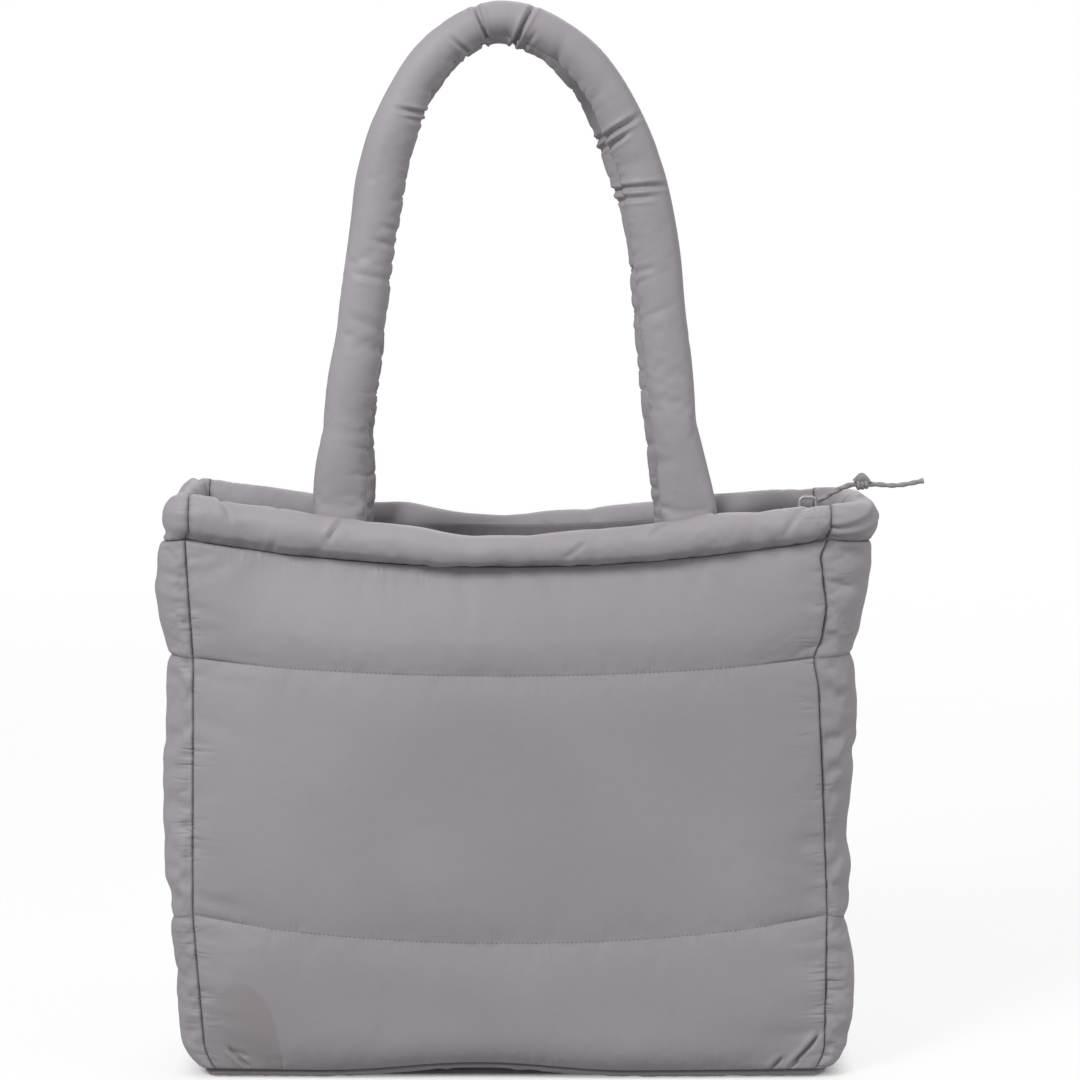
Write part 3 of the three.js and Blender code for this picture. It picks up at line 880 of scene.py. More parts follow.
def rimForm(sideName, u, turn):
    # the plain roll: places along it (a column) and round it from its seam underneath (a row)
    side = sides[sideName]
    out, up = np.cos(turn - math.pi / 2), np.sin(turn - math.pi / 2)
    along = mix(u, np.sin(u * math.pi / 2), 0.5) if side["face"] else u
    across = -side["outward"] * along if side["face"] else np.full_like(along, side["outward"])
    corner = between(rimSections, "at", "height", across)
    swell = 0 if side["face"] else 1 - along * along
    halfHeight = rim["height"] * mix(corner, rimEndHeights.get(sideName, corner), swell) / 2
    seamX, seamY, _, _ = planAt(levels[-1], side, along)
    x, y, nx, ny = planAt(rimLine, side, along)
    lean = smooth(up, -1.05, -0.55)
    length = np.cumsum(np.hypot(np.diff(x, axis=0, prepend=x[:1]), np.diff(y, axis=0, prepend=y[:1])), axis=0)
    away = np.minimum(length, length[-1] - length)
    pinch = 1 - rim["endPinch"] * fading(away, 3.2, 1.3)
    turned = turn * (rim["height"] + rim["thickness"]) / 4 + 0 * along
    offset = out * rim["thickness"] * mix(rim["hang"], 1, lean) / 2 * pinch
    z = heightAt(levels[-1], side, along) + body["gap"] + halfHeight * (1 + up * pinch)
    around = mix(seamX, x, lean) + nx * offset
    return {
        "points": np.stack([tucked(around, z), mix(seamY, y, lean) + ny * offset, z], -1),
        "normal": np.stack([nx * out, ny * out, up + 0 * nx], -1),
        "spot": length - length[len(length) // 2] + 0 * turn,
        "length": length + 0 * turn,
        "round": turned,
        "around": np.minimum(turned, (rim["height"] + rim["thickness"]) * math.pi / 2 - turned),
        "away": away + 0 * turn,
        "side": (x if side["face"] else y) + 0 * turn,
    }


def rimGrids(sideName, seed, settled):
    side = sides[sideName]
    columns = rim["faceColumns"] if side["face"] else rim["endColumns"]
    u = np.linspace(-1, 1, columns + 1)[:, None]
    turn = turnsOf(rim["sides"])
    form = rimForm(sideName, u, turn)
    spot, around, away, length = [form[key] for key in ("spot", "around", "away", "length")]
    creases = allPuckers(
        seed,
        (0, spot, around, rim["seam"]),
        (1, spot, around, rim["gathers"]),
        (2, around, length, rim["ends"]),
        (3, around, length[-1] - length, rim["ends"]),
    )
    for crease in rimFolds.get(sideName, []):
        sharper = {**crease, "depth": crease["depth"] * 1.35, "width": crease["width"] * 0.75}
        creases += fold(form["side"], form["round"], **sharper)
    lumps = rim["swell"] * wander(seed, spot, around, 48)
    bulge = (lumps - creases) * smooth(around, 0.0, 4.0)
    points = form["points"] + form["normal"] * bulge[..., None]
    if settled is not None:
        points = points + spreadTube(settled, u[:, 0], rim["sides"])
    # where the colour gets painted shade: at the roll's ends and along its seam underneath
    seam = np.minimum(fading(away, 1.0, 1.3) + fading(around, 1.6, 1.3), 1)
    values = {"seam": seam, "pulled": fading(around, 11, 1.2), "gathered": fading(away, 12, 1.2)}
    return points, np.stack([spot, form["round"]], -1), values


rimPieces = {
    "front": {"name": "rimFront", "node": "rim_front", "seed": 511},
    "back": {"name": "rimBack", "node": "rim_back", "seed": 521},
    "left": {"name": "rimLeft", "node": "rim_left", "seed": 531},
    "right": {"name": "rimRight", "node": "rim_right", "seed": 541},
}
handles = {
    "spread": 198,
    "rise": 311,
    "width": 27,
    "depth": 25,
    "tuck": 11,
    "clearance": 0.8,
    "teeth": 2.6,
    "radius": 12.5,  # that its cloth is laid out with
    "stations": 900,
    "sides": 44,
    "seam": pucker(11.0, 7.0, 0.9, 1.2),
    "wide": pucker(30.0, 17.0, 1.1, 2.6),
    "swell": 0.5,
}
handleSections = table(
    "front back up wide deep",
    (-1.02, -1.02, 0.0, 1.15, 0.62), (-1.008, -1.0, 0.116, 1.16, 0.8),
    (-0.955, -0.965, 0.277, 1.02, 1.0), (-0.885, -0.91, 0.431, 1.0, 1.0),
    (-0.812, -0.86, 0.588, 0.99, 1.0), (-0.685, -0.74, 0.79, 0.97, 0.98),
    (-0.552, -0.585, 0.89, 0.87, 0.96), (-0.33, -0.36, 0.968, 0.82, 0.96),
    (-0.09, -0.11, 1.0, 0.76, 1.0), (0.21, 0.19, 0.97, 0.8, 0.98),
    (0.462, 0.43, 0.894, 0.84, 0.96), (0.692, 0.65, 0.746, 0.94, 0.98),
    (0.782, 0.78, 0.6, 1.0, 1.0), (0.842, 0.825, 0.447, 0.98, 1.0),
    (0.906, 0.88, 0.283, 1.0, 1.0), (0.993, 0.97, 0.109, 1.2, 0.8),
    (1.02, 0.99, 0.0, 1.18, 0.62),
)
for place, row in enumerate(handleSections):
    row["at"] = place / (len(handleSections) - 1)

# creases across a handle: where along it, how deep, how wide, how far round from the inner seam
# (as a share of half the way round), and how much they lean
handleFolds = table(
    "at depth width round lean",
    (0.272, 1.0, 1.6, 0.6, 0.1), (0.284, 0.9, 1.4, 0.45, 0.15),
    (0.244, 0.7, 1.8, 0.9, 0.05), (0.387, 2.8, 1.2, 0.62, -0.2),
    (0.379, 1.2, 1.3, 0.45, -0.1), (0.457, 1.9, 1.1, 0.6, -0.2),
    (0.478, 3.4, 1.15, 1.15, 0.0), (0.51, 3.4, 1.15, 1.1, 0.12),
    (0.52, 1.0, 1.3, 0.5, 0.2), (0.633, 2.8, 1.3, 0.9, -0.1),
    (0.643, 2.2, 1.2, 0.6, -0.2), (0.678, 2.6, 1.2, 1.0, 0.14),
    (0.688, 1.9, 1.2, 0.7, 0.1), (0.75, 0.9, 1.6, 0.55, -0.1),
    (0.2, 0.7, 2.6, 0.8, 0.3), (0.79, 0.7, 2.6, 0.8, -0.3),
)


def catmullRom(points, count):
    # the centripetal curve through the points, and each place's share of the way through them
    ends = [2 * points[0] - points[1], *points, 2 * points[-1] - points[-2]]
    found, shares = [], []
    spans = len(points) - 1
    for i in range(spans):
        p0, p1, p2, p3 = ends[i : i + 4]
        d0, d1, d2 = [max(np.linalg.norm(b - a), 1e-6) ** 0.5 for a, b in ((p0, p1), (p1, p2), (p2, p3))]
        t1 = ((p1 - p0) / d0 - (p2 - p0) / (d0 + d1) + (p2 - p1) / d1) * d1
        t2 = ((p2 - p1) / d1 - (p3 - p1) / (d1 + d2) + (p3 - p2) / d2) * d1
        c2 = -3 * p1 + 3 * p2 - 2 * t1 - t2
        c3 = 2 * p1 - 2 * p2 + t1 + t2
        for s in np.linspace(0, 1, count, endpoint=i == spans - 1):
            found.append(p1 + t1 * s + c2 * s * s + c3 * s**3)
            shares.append((i + s) / spans)
    return np.array(found), np.array(shares)


def evenly(points, columns, count):
    # the curve's places, evenly spaced along it, with what else is known there
    steps = np.linalg.norm(np.diff(points, axis=0), axis=1)
    length = np.concatenate([[0], np.cumsum(steps)])
    at = np.linspace(0, length[-1], count)
    spread = np.stack([np.interp(at, length, points[:, i]) for i in range(points.shape[1])], 1)
    return spread, np.interp(at, length, columns), at


def insideOfRim(across):
    turn = turnsOf(12)[0]
    lean = smooth(np.sin(turn), -1, -0.2)
    offset = np.cos(turn) * rim["thickness"] * mix(rim["pinch"], 1, lean) / 2
    bow = body["bow"] * mix(levels[-1]["bow"], rimLine["bow"], lean)
    across = np.asarray(across, float)[..., None]
    return (body["depth"] / 2 + bow * (1 - across**2) + offset).min(-1)


def handleCentre(column, outward, count):
    # the middle line: evenly spaced places, their share of the sections, and the way along it
    place = handles["spread"] / body["width"]
    front = insideOfRim(place) - handles["teeth"] - 3 * body["gap"] - handles["clearance"]
    foot = heightAt(levels[-1], sides["front"], np.array(place)) - handles["tuck"]
    points = []
    for row in handleSections:
        x = row[column] * handles["spread"] / 2
        y = outward * (front - handles["depth"] * row["deep"] / 2)
        points.append(np.array([x, y, foot + row["up"] * handles["rise"]], float))
    dense, shares = catmullRom(points, 40)
    return evenly(dense, shares, count)


def handleForm(column, outward, count, turn):
    # the plain handle: even stations along it and places round it from its inner seam (a row)
    centre, share, at = handleCentre(column, outward, count)
    tangent = np.gradient(centre, axis=0)
    tangent /= np.linalg.norm(tangent, axis=1)[:, None]
    sideways = np.array([0.0, 1.0, 0.0])
    normal = np.cross(tangent, sideways)
    normal /= np.linalg.norm(normal, axis=1)[:, None]
    out, deep = np.cos(turn + math.pi), np.sin(turn + math.pi)
    halfWidth = handles["width"] * between(handleSections, "at", "wide", share)[:, None] / 2
    halfDepth = handles["depth"] * between(handleSections, "at", "deep", share)[:, None] / 2
    facing = normal[:, None, :] * out[..., None] + sideways * deep[..., None]
    shape = normal[:, None, :] * (out * halfWidth)[..., None] + sideways * (deep * halfDepth)[..., None]
    return {
        "points": centre[:, None, :] + shape,
        "facing": facing,
        "normal": normal,
        "spot": at[:, None] + 0 * turn,
        "around": np.minimum(turn, fullTurn - turn) * handles["radius"] + 0 * at[:, None],
    }


def handleGrids(column, outward, seed, settled):
    turn = turnsOf(handles["sides"])
    form = handleForm(column, outward, handles["stations"], turn)
    spot, around = form["spot"], form["around"]
    creases = allPuckers(seed, (0, spot, around, handles["seam"]), (1, spot, around, handles["wide"]))
    for crease in handleFolds:
        middle = crease["at"] * spot.max() + crease["lean"] * around
        reach = 1 - smooth(around / (math.pi * handles["radius"]), crease["round"] * 0.55, crease["round"])
        off = np.abs((spot - middle) / crease["width"])
        creases += crease["depth"] * reach * (np.exp(-(off**1.5)) - 0.3 * np.exp(-((off - 2.3) ** 2)))
    groove = 1.2 * fading(around, 1.5, 1.4)
    lumps = handles["swell"] * wander(seed, spot, around, 34)
    bulge = lumps - groove - creases * smooth(around, -1.5, 2.5)
    points = form["points"] + form["facing"] * bulge[..., None]
    if settled is not None:
        points = points + spreadTube(settled, np.linspace(-1, 1, handles["stations"]), handles["sides"])
    # where the colour gets painted shade: along the handle's inner seam
    seam = fading(around, 1.2, 1.3) * 0.8
    values = {"seam": seam, "pulled": fading(around, 12, 1.3), "gathered": 0 * around}
    return points, np.stack([spot, turn * handles["radius"] + 0 * spot], -1), values, form["normal"]


handlePieces = {
    "front": {"name": "handleFront", "node": "handle_front", "outward": -1, "seed": 611},
    "back": {"name": "handleBack", "node": "handle_back", "outward": 1, "seed": 621},
}

# the shell's cloth is a little longer than its seams: held at them and filled, it finds its own folds
clothRun = {
    "rows": 26,  # in each channel
    "faceColumns": 92,
    "endColumns": 34,
    "rollColumns": 110,
    "rollEndColumns": 40,
    "rollSides": 20,
    "handleStations": 190,
    "handleSides": 20,
    "frames": 20,
    "start": 0.94,  # the share of the walls' puff that the run starts from
    "cap": 3.0,  # millimetres that no point moves beyond
    # how much of the run each piece takes on
    "shares": {
        "wallfront": 0.16,
        "wallback": 0.3,
        "wallleft": 0.8,
        "wallright": 0.8,
        "rim": 0.3,
        "handle": 0.35,
    },
}
clothSettings = {
    "quality": 5,
    "mass": 0.15,
    "tension_stiffness": 14,
    "compression_stiffness": 14,
    "shear_stiffness": 6,
    "bending_stiffness": 0.25,
    "vertex_group_mass": "pinned",
    "use_pressure": True,
    "uniform_pressure_force": 3.0,
    "shrink_min": -0.022,
}


def cubicWeights(places, count, closed=False):
    # how much each of the even places gives to a value between them, on a smooth curve
    low = np.floor(places).astype(int)
    if not closed:
        low = np.clip(low, 0, count - 2)
    t = places - low
    parts = {
        -1: -0.5 * t + t**2 - 0.5 * t**3,
        0: 1 - 2.5 * t**2 + 1.5 * t**3,
        1: 0.5 * t + 2 * t**2 - 1.5 * t**3,
        2: -0.5 * t**2 + 0.5 * t**3,
    }
    weights = np.zeros((len(places), count))
    for step, part in parts.items():
        index = (low + step) % count if closed else np.clip(low + step, 0, count - 1)
        np.add.at(weights, (np.arange(len(places)), index), part)
    return weights


def spreadTube(settled, u, sidesWanted):
    # the settled shape of a tube's coarse grid, spread over its fine one
    count, coarseSides = settled.shape[:2]
    lengthways = cubicWeights((u + 1) / 2 * (count - 1), count)
    turned = cubicWeights(np.arange(sidesWanted) * coarseSides / sidesWanted, coarseSides, closed=True)
    return np.einsum("ri,ijd,cj->rcd", lengthways, settled, turned)


def heldAt(points, rows, columns):
    held = np.zeros(points.shape[:2], bool)
    held[rows] = True
    held[:, columns] = True
    return held


def coarseForms():
    # every soft piece as a coarse grid with its pinned points: name, points, facing, pinned, closed
    forms = {}
    for sideName, side in sides.items():
        columns = clothRun["faceColumns"] if side["face"] else clothRun["endColumns"]
        along = np.linspace(-1, 1, columns + 1)
        grids, facings = [], []
        for k in range(len(channels)):
            top = k == len(channels) - 1
            rise = np.linspace(0, 1, clothRun["rows"] + 1)[: clothRun["rows"] + top, None]
            form = wallForm(sideName, along, k, rise)
            outward = body["seamHalf"] + form["puff"] * clothRun["start"]
            grids.append(form["middle"] + form["normal"] * outward[..., None])
            facings.append(form["normal"])
        points = np.concatenate(grids)
        pinned = heldAt(points, slice(None, None, clothRun["rows"]), [0, -1])
        forms["wall" + sideName] = (points, np.concatenate(facings), pinned, False)
        columns = clothRun["rollColumns"] if side["face"] else clothRun["rollEndColumns"]
        turn = turnsOf(clothRun["rollSides"])
        form = rimForm(sideName, np.linspace(-1, 1, columns + 1)[:, None], turn)
        pinned = heldAt(form["points"], [0, -1], 0)
        forms["rim" + sideName] = (form["points"], form["normal"], pinned, True)
    for column, look in handlePieces.items():
        turn = turnsOf(clothRun["handleSides"])
        form = handleForm(column, look["outward"], clothRun["handleStations"], turn)
        pinned = heldAt(form["points"], [0, 1, 2, -3, -2, -1], 0)
        forms["handle" + column] = (form["points"], form["facing"], pinned, True)
    return forms


def settle():
    # one cloth run for all of them; gives how far each point moved, in millimetres
    forms = coarseForms()
    points, faces, pins, starts = [], [], [], {}
    for name, (grid, facing, pinned, closed) in forms.items():
        start = len(points)
        starts[name] = start
        rows, columns = grid.shape[:2]
        points += (grid.reshape(-1, 3) * mm).tolist()
        pins += (np.flatnonzero(pinned.ravel()) + start).tolist()
        index = np.arange(rows * columns).reshape(rows, columns) + start
        beside = np.roll(index, -1, axis=1) if closed else index[:, 1:]
        here = index if closed else index[:, :-1]
        quads = np.stack([here[:-1], beside[:-1], beside[1:], here[1:]], -1).reshape(-1, 4)
        a, b, d = [np.array([points[i] for i in quads[:, c]]) for c in (0, 1, 3)]
        outward = facing.reshape(-1, 3)[quads[:, 0] - start]
        if np.sum(np.cross(b - a, d - a) * outward) < 0:
            quads = quads[:, ::-1]
        faces += quads.tolist()
    mesh = bpy.data.meshes.new("settling")
    mesh.from_pydata(points, [], faces)
    thing = linked("settling", mesh)
    group = thing.vertex_groups.new(name="pinned")
    group.add(pins, 1.0, "REPLACE")
    cloth = thing.modifiers.new("cloth", "CLOTH")
    for key, value in clothSettings.items():
        setattr(cloth.settings, key, value)
    cloth.settings.effector_weights.gravity = 0
    cloth.collision_settings.use_collision = False
    cloth.point_cache.frame_start = 1
    cloth.point_cache.frame_end = clothRun["frames"]
    for frameNumber in range(1, clothRun["frames"] + 1):
        bpy.context.scene.frame_set(frameNumber)
    evaluated = thing.evaluated_get(bpy.context.evaluated_depsgraph_get())
    after = np.zeros(len(points) * 3, np.float32)
    evaluated.data.vertices.foreach_get("co", after)
    moved = after.reshape(-1, 3) / mm - np.array(points) / mm
    far = np.linalg.norm(moved, axis=1)
    print(f"cloth moved {far.mean():.2f} mm on average and at most {far.max():.2f}")
    moved *= (clothRun["cap"] * np.tanh(far / clothRun["cap"]) / np.maximum(far, 1e-9))[:, None]
    bpy.data.objects.remove(thing)
    bpy.context.scene.frame_set(1)
    settled = {}
    for name, (grid, facing, pinned, closed) in forms.items():
        count = grid.shape[0] * grid.shape[1]
        share = next(value for key, value in clothRun["shares"].items() if name.startswith(key))
        settled[name] = moved[starts[name] : starts[name] + count].reshape(grid.shape) * share
    return settled


settled = settle()
print("cloth settled" if settled else "cloth left plain")

for sideName, look in wallPieces.items():
    shape = wallGrids(sideName, look["seed"], settled.get("wall" + sideName))
    wallShapes[sideName] = shape
    materials = [look["cloth"], liningCloth]
    values = {key: shape[key] for key in ("seam", "pulled", "gathered")}
    wall = gridShell(look["name"], shape["outer"], shape["inner"], materials, shape["cloth"], values)
    finished(wall, look["node"])
print("walls sewn")

for sideName, look in rimPieces.items():
    points, cloth, values = rimGrids(sideName, look["seed"], settled.get("rim" + sideName))
    roll = tubeShell(look["name"], points, shellCloth, cloth, values)
    finished(roll, look["node"])
print("rim rolled")

handleShapes = {}
for column, look in handlePieces.items():
    found = handleGrids(column, look["outward"], look["seed"], settled.get("handle" + column))
    points, cloth, values, normal = found
    handleShapes[column] = (points, normal)
    handle = tubeShell(look["name"], points, shellCloth, cloth, values)
    finished(handle, look["node"])
print("handles stuffed")

zipper = {
    "tapeWidth": 14,
    "tapeThickness": 1.2,
    "rise": 13,
    "sliderLength": 12,
    "sliderWidth": 8,
    "sliderHeight": 4.5,
    "sliderInset": 8,
    "sliderRise": 5,
    "columns": 220,
    "bailWidth": 9.6,
    "bailHeight": 9,
    "bailWire": 1.4,
    "bailRadius": 0.64,  # the wire's radius as a share of its thickness, a little over half so that it shows
    "bailStations": 70,
    "bailSides": 14,
}
sliderX = rimLine["seams"][1] * body["width"] / 2 - zipper["sliderInset"]
sliderBase = body["height"] + zipper["sliderRise"]
tapeStart = -rimLine["seams"][0] * body["width"] / 2 + rim["thickness"] / 2
tapeEnd = sliderX - zipper["sliderLength"] / 2 - body["gap"]
turnStart = handles["spread"] / 2 + 0.7 * handles["width"]


def tapePlace(side, x, down):
    # the middle of the tape's cloth at x, down its width from its teeth (0) to its sewn edge (1)
    across = 2 * x / body["width"] + (rimLine["seams"][0] - rimLine["seams"][1]) / 2
    turning = smooth(x, turnStart, tapeEnd)
    sewn = insideOfRim(across) - zipper["tapeThickness"] / 2 - 2 * body["gap"]
    seamZ = heightAt(levels[-1], side, -side["outward"] * across)
    hangingZ = seamZ + zipper["rise"] - zipper["tapeWidth"] * (1 - down)
    lyingZ = sliderBase + zipper["sliderHeight"] / 2
    lyingY = body["gap"] + handles["teeth"] / 2 + zipper["tapeWidth"] * down
    return mix(sewn, lyingY, turning), mix(hangingZ, lyingZ, turning), turning


def makeTape(sideName, seed):
    side = sides[sideName]
    x = np.linspace(tapeStart, tapeEnd, zipper["columns"] + 1)[None, :]
    down = np.linspace(0, 1, 9)[:, None]
    y, z, turning = tapePlace(side, x, down)
    ripple = 0.3 * wander(seed, x, z, 40) + 0.35 * wander(seed + 5, x, z, 11)
    ripple = ripple * (1 - down * 0.5) * (1 - turning)
    half = zipper["tapeThickness"] / 2 * np.where((down < 0.02) | (down > 0.98), 0.5, 0.8)
    faceY, faceZ = 1 - turning, turning
    outer, inner = [
        np.stack([x + 0 * y, side["outward"] * (y + way * half * faceY + ripple), z - way * half * faceZ], -1)
        for way in (1, -1)
    ]
    cloth = np.stack([x + 0 * down, down * zipper["tapeWidth"] + 0 * x], -1)
    name = "zipTape" + sideName.capitalize()
    tape = gridShell(name, outer, inner, [shadedTapeCloth, shadedTapeCloth], cloth)
    finished(tape, "zip_tape_" + sideName)
    y, z, turning = tapePlace(side, x[0], 0.045)
    lift = handles["teeth"] / 2 - 0.45
    path = np.stack([x[0], side["outward"] * (y - lift * (1 - turning)), z], -1)
    facing = np.stack([0 * x[0], -side["outward"] * (1 - turning), turning], -1)
    return path, facing


def solidOf(name, build, material):
    # a mesh built by the given function in a fresh bmesh, in millimetres
    mesh = bpy.data.meshes.new(name)
    shape = bmesh.new()
    build(shape)
    bmesh.ops.remove_doubles(shape, verts=shape.verts, dist=1e-4)
    bmesh.ops.recalc_face_normals(shape, faces=shape.faces)
    bmesh.ops.scale(shape, vec=(mm, mm, mm), verts=shape.verts)
    shape.to_mesh(mesh)
    shape.free()
    mesh.materials.append(material)
    mesh.polygons.foreach_set("use_smooth", [True] * len(mesh.polygons))
    return linked(name, mesh)


def tubeRings(path, radius, count, sectionOf=None):
    # rings round a path, turned as little as possible from each to the next
    path = np.asarray(path, float)
    tangent = np.gradient(path, axis=0)
    tangent /= np.linalg.norm(tangent, axis=1)[:, None]
    start = np.cross(tangent[0], [0.0, 1.0, 0.0])
    if np.linalg.norm(start) < 1e-3:
        start = np.cross(tangent[0], [0.0, 0.0, 1.0])
    normals = [start / np.linalg.norm(start)]
    for t in tangent[1:]:
        n = normals[-1] - t * np.dot(normals[-1], t)
        normals.append(n / np.linalg.norm(n))
    normal = np.array(normals)
    other = np.cross(tangent, normal)
    turn = turnsOf(count)
    steps = np.concatenate([[0], np.cumsum(np.linalg.norm(np.diff(path, axis=0), axis=1))])[:, None]
    reach = radius * (sectionOf(steps, turn) if sectionOf else np.ones_like(steps + turn))
    rings = path[:, None, :] + normal[:, None, :] * (np.cos(turn) * reach)[..., None]
    rings = rings + other[:, None, :] * (np.sin(turn) * reach)[..., None]
    return rings, np.stack([steps + 0 * turn, turn * radius + 0 * steps], -1)


def curveThrough(points, count):
    dense, shares = catmullRom([np.array(p, float) for p in points], 24)
    return evenly(dense, shares, count)[0]


sliderLook = {"plate": 1.1, "flange": 0.7, "waist": 0.2}


def makeSlider():
    # two plates joined by a neck at the front, with turned-in flanges at their long edges
    half = zipper["sliderHeight"] / 2
    long, wide = zipper["sliderLength"] / 2, zipper["sliderWidth"] / 2

    def plate(shape, low, high):
        outline = []
        for turn in np.linspace(0, fullTurn, 40, endpoint=False):
            c, s = math.cos(turn), math.sin(turn)
            x = long * np.sign(c) * abs(c) ** 0.45
            y = wide * np.sign(s) * abs(s) ** 0.45
            y *= 1 - sliderLook["waist"] * max(0.0, -c) ** 1.5
            outline.append((x * 0.98, y * 0.98))
        rings = []
        for f, share in ((0.86, 0), (1.0, 0.3), (1.0, 0.7), (0.86, 1)):
            z = sliderBase + half + mix(low, high, share)
            rings.append([shape.verts.new((sliderX + x * f, y * f, z)) for x, y in outline])
        for a, b in zip(rings, rings[1:]):
            for i in range(len(a)):
                j = (i + 1) % len(a)
                shape.faces.new((a[i], a[j], b[j], b[i]))
        shape.faces.new(rings[0])
        shape.faces.new(rings[-1])

    def block(shape, centre, size):
        made = bmesh.ops.create_cube(shape, size=1.0)["verts"]
        bmesh.ops.scale(shape, vec=size, verts=made)
        bmesh.ops.translate(shape, vec=centre, verts=made)
        edges = list({e for v in made for e in v.link_edges})
        bmesh.ops.bevel(shape, geom=edges, offset=0.25, segments=2, profile=0.6, affect="EDGES")

    def build(shape):
        thick = sliderLook["plate"]
        plate(shape, half - thick, half - 0.02)
        plate(shape, -half + 0.02, -half + thick)
        middle = sliderBase + half
        block(shape, (sliderX + long * 0.55, 0, middle), (3.2, 2.2, zipper["sliderHeight"] - 1.2))
        for way in (-1, 1):
            for height in (-1, 1):
                spot = (sliderX - 0.4, way * (wide - 0.75), middle + height * (half - thick - 0.3))
                block(shape, spot, (long * 1.5, sliderLook["flange"], 0.9))
        block(shape, (sliderX - long * 0.62, 0, middle + half - 0.2), (2.2, 2.4, 0.5))

    return finished(solidOf("zipSlider", build, zipMetal), "zip_slider")


makeSlider()


def makeBail():
    foot = sliderBase + zipper["sliderHeight"] + body["gap"]
    left = sliderX - zipper["bailWidth"] / 2
    shape = [(0.0, 0.0), (0.0, 0.6), (0.05, 0.88), (0.22, 1.0), (0.5, 1.0)]
    shape += [(1 - a, b) for a, b in reversed(shape[:-1])]
    points = [(left + zipper["bailWidth"] * a, 0, foot + zipper["bailHeight"] * b) for a, b in shape]
    wire = curveThrough(points, zipper["bailStations"])
    rings, cloth = tubeRings(wire, zipper["bailWire"] * zipper["bailRadius"], zipper["bailSides"])
    return finished(tubeShell("zipBail", rings, zipMetal, cloth), "zip_bail")


makeBail()
toothRuns = {name: makeTape(name, seed) for name, seed in (("front", 711), ("back", 721))}
print("zip fitted")

pull = {
    "diameter": 0.003,
    "knotAt": 0.43,
    "strands": 0.13,  # how deep the groove between the two strands is, as a share of the radius
    "twist": 13.0,  # millimetres for a whole turn
    "turns": 2.6,  # of the knot
    "knotReach": 2.1,
    "strandRadius": 1.2,
    "sides": 24,
    "stations": 210,
}

# the pull's middle line, in metres, from the bail over the end of the rim
pullRoute = [
    (0.1749, -0.0005, 0.3280),
    (0.1786, -0.0012, 0.3300),
    (0.1820, -0.0018, 0.3321),
    (0.1856, -0.0022, 0.3342),
    (0.1894, -0.0025, 0.3360),
    (0.1934, -0.0027, 0.3373),
    (0.1974, -0.0028, 0.3377),
    (0.2016, -0.0028, 0.3379),
    (0.2060, -0.0026, 0.3377),
    (0.2104, -0.0022, 0.3375),
    (0.2148, -0.0017, 0.3370),
    (0.2192, -0.0011, 0.3369),
    (0.2236, -0.0004, 0.3372),
    (0.2278, 0.0003, 0.3378),
    (0.2320, 0.0010, 0.3386),
    (0.2360, 0.0016, 0.3394),
]


def makePull():
    line = curveThrough([np.array(p) / mm for p in pullRoute], pull["stations"])
    radius = pull["diameter"] / mm / 2

    def section(steps, turn):
        lobes = np.cos(2 * (turn - steps * fullTurn / pull["twist"]))
        plies = 0.03 * np.cos(turn * 8 + steps * 5.0)
        taper = 1 - 0.1 * smooth(steps, 32, 44) + 0.14 * smooth(steps, 58, 63)
        return (1 + pull["strands"] * (lobes - 0.4) + plies) * taper

    rings, cloth = tubeRings(line, radius, pull["sides"], section)
    cord = finished(tubeShell("pullCord", rings, cordCloth, cloth), "pull_cord")

    spot = int(pull["knotAt"] * (len(line) - 1))
    seat = line[spot]
    ahead = line[spot + 2] - line[spot - 2]
    ahead /= np.linalg.norm(ahead)
    upward = np.array([0.0, 0.0, 1.0]) - ahead * ahead[2]
    upward /= np.linalg.norm(upward)
    beside = np.cross(ahead, upward)
    turns = []
    for share in np.linspace(0, 1, 120):
        angle = share * fullTurn * pull["turns"]
        reach = pull["knotReach"] + 0.2 * math.sin(angle * 0.7)
        along = mix(-2.9, 2.9, share) + 0.5 * math.sin(angle)
        turns.append(seat + ahead * along + (upward * math.cos(angle) + beside * math.sin(angle)) * reach)

    def strand(steps, turn):
        return 1 + 0.06 * np.cos(turn * 6 + steps * 4.5)

    rings, cloth = tubeRings(np.array(turns), pull["strandRadius"], 14, strand)
    knot = finished(tubeShell("pullKnot", rings, cordCloth, cloth), "pull_knot")
    return cord, knot, seat


foldLook = {"foot": 0.8, "height": 4.6, "width": 11, "thickness": 1.4, "depth": 5}


def makeFold(seat):
    # the flat end of the pull, folded over like a small tent on the knot
    u = np.linspace(-0.5, 0.5, 41)[None, :]
    v = np.linspace(-0.5, 0.5, 9)[:, None]
    rising = foldLook["height"] * np.cos(u * math.pi).clip(0) ** 0.9 * (1 - 0.22 * (v + 0.5))
    foot = seat[2] + foldLook["foot"]
    lean = 0.7 * v * np.cos(u * math.pi)
    shapes = []
    for w in (1, -1):
        x = seat[0] + u * (foldLook["width"] + w * foldLook["thickness"]) * 0.8 + lean
        y = seat[1] + v * foldLook["depth"] + 0 * u
        z = foot + (rising + foldLook["thickness"] if w > 0 else 0 * rising)
        shapes.append(np.stack([x + 0 * v, y, z + 0 * v], -1))
    cloth = np.stack([u * 14 + 0 * v, v * 5 + 0 * u], -1)
    flap = gridShell("pullFold", shapes[0], shapes[1], [cordCloth, cordCloth], cloth)
    return finished(flap, "pull_fold")


pullCord, pullKnot, knotSeat = makePull()
pullFold = makeFold(knotSeat)
print("pull tied")


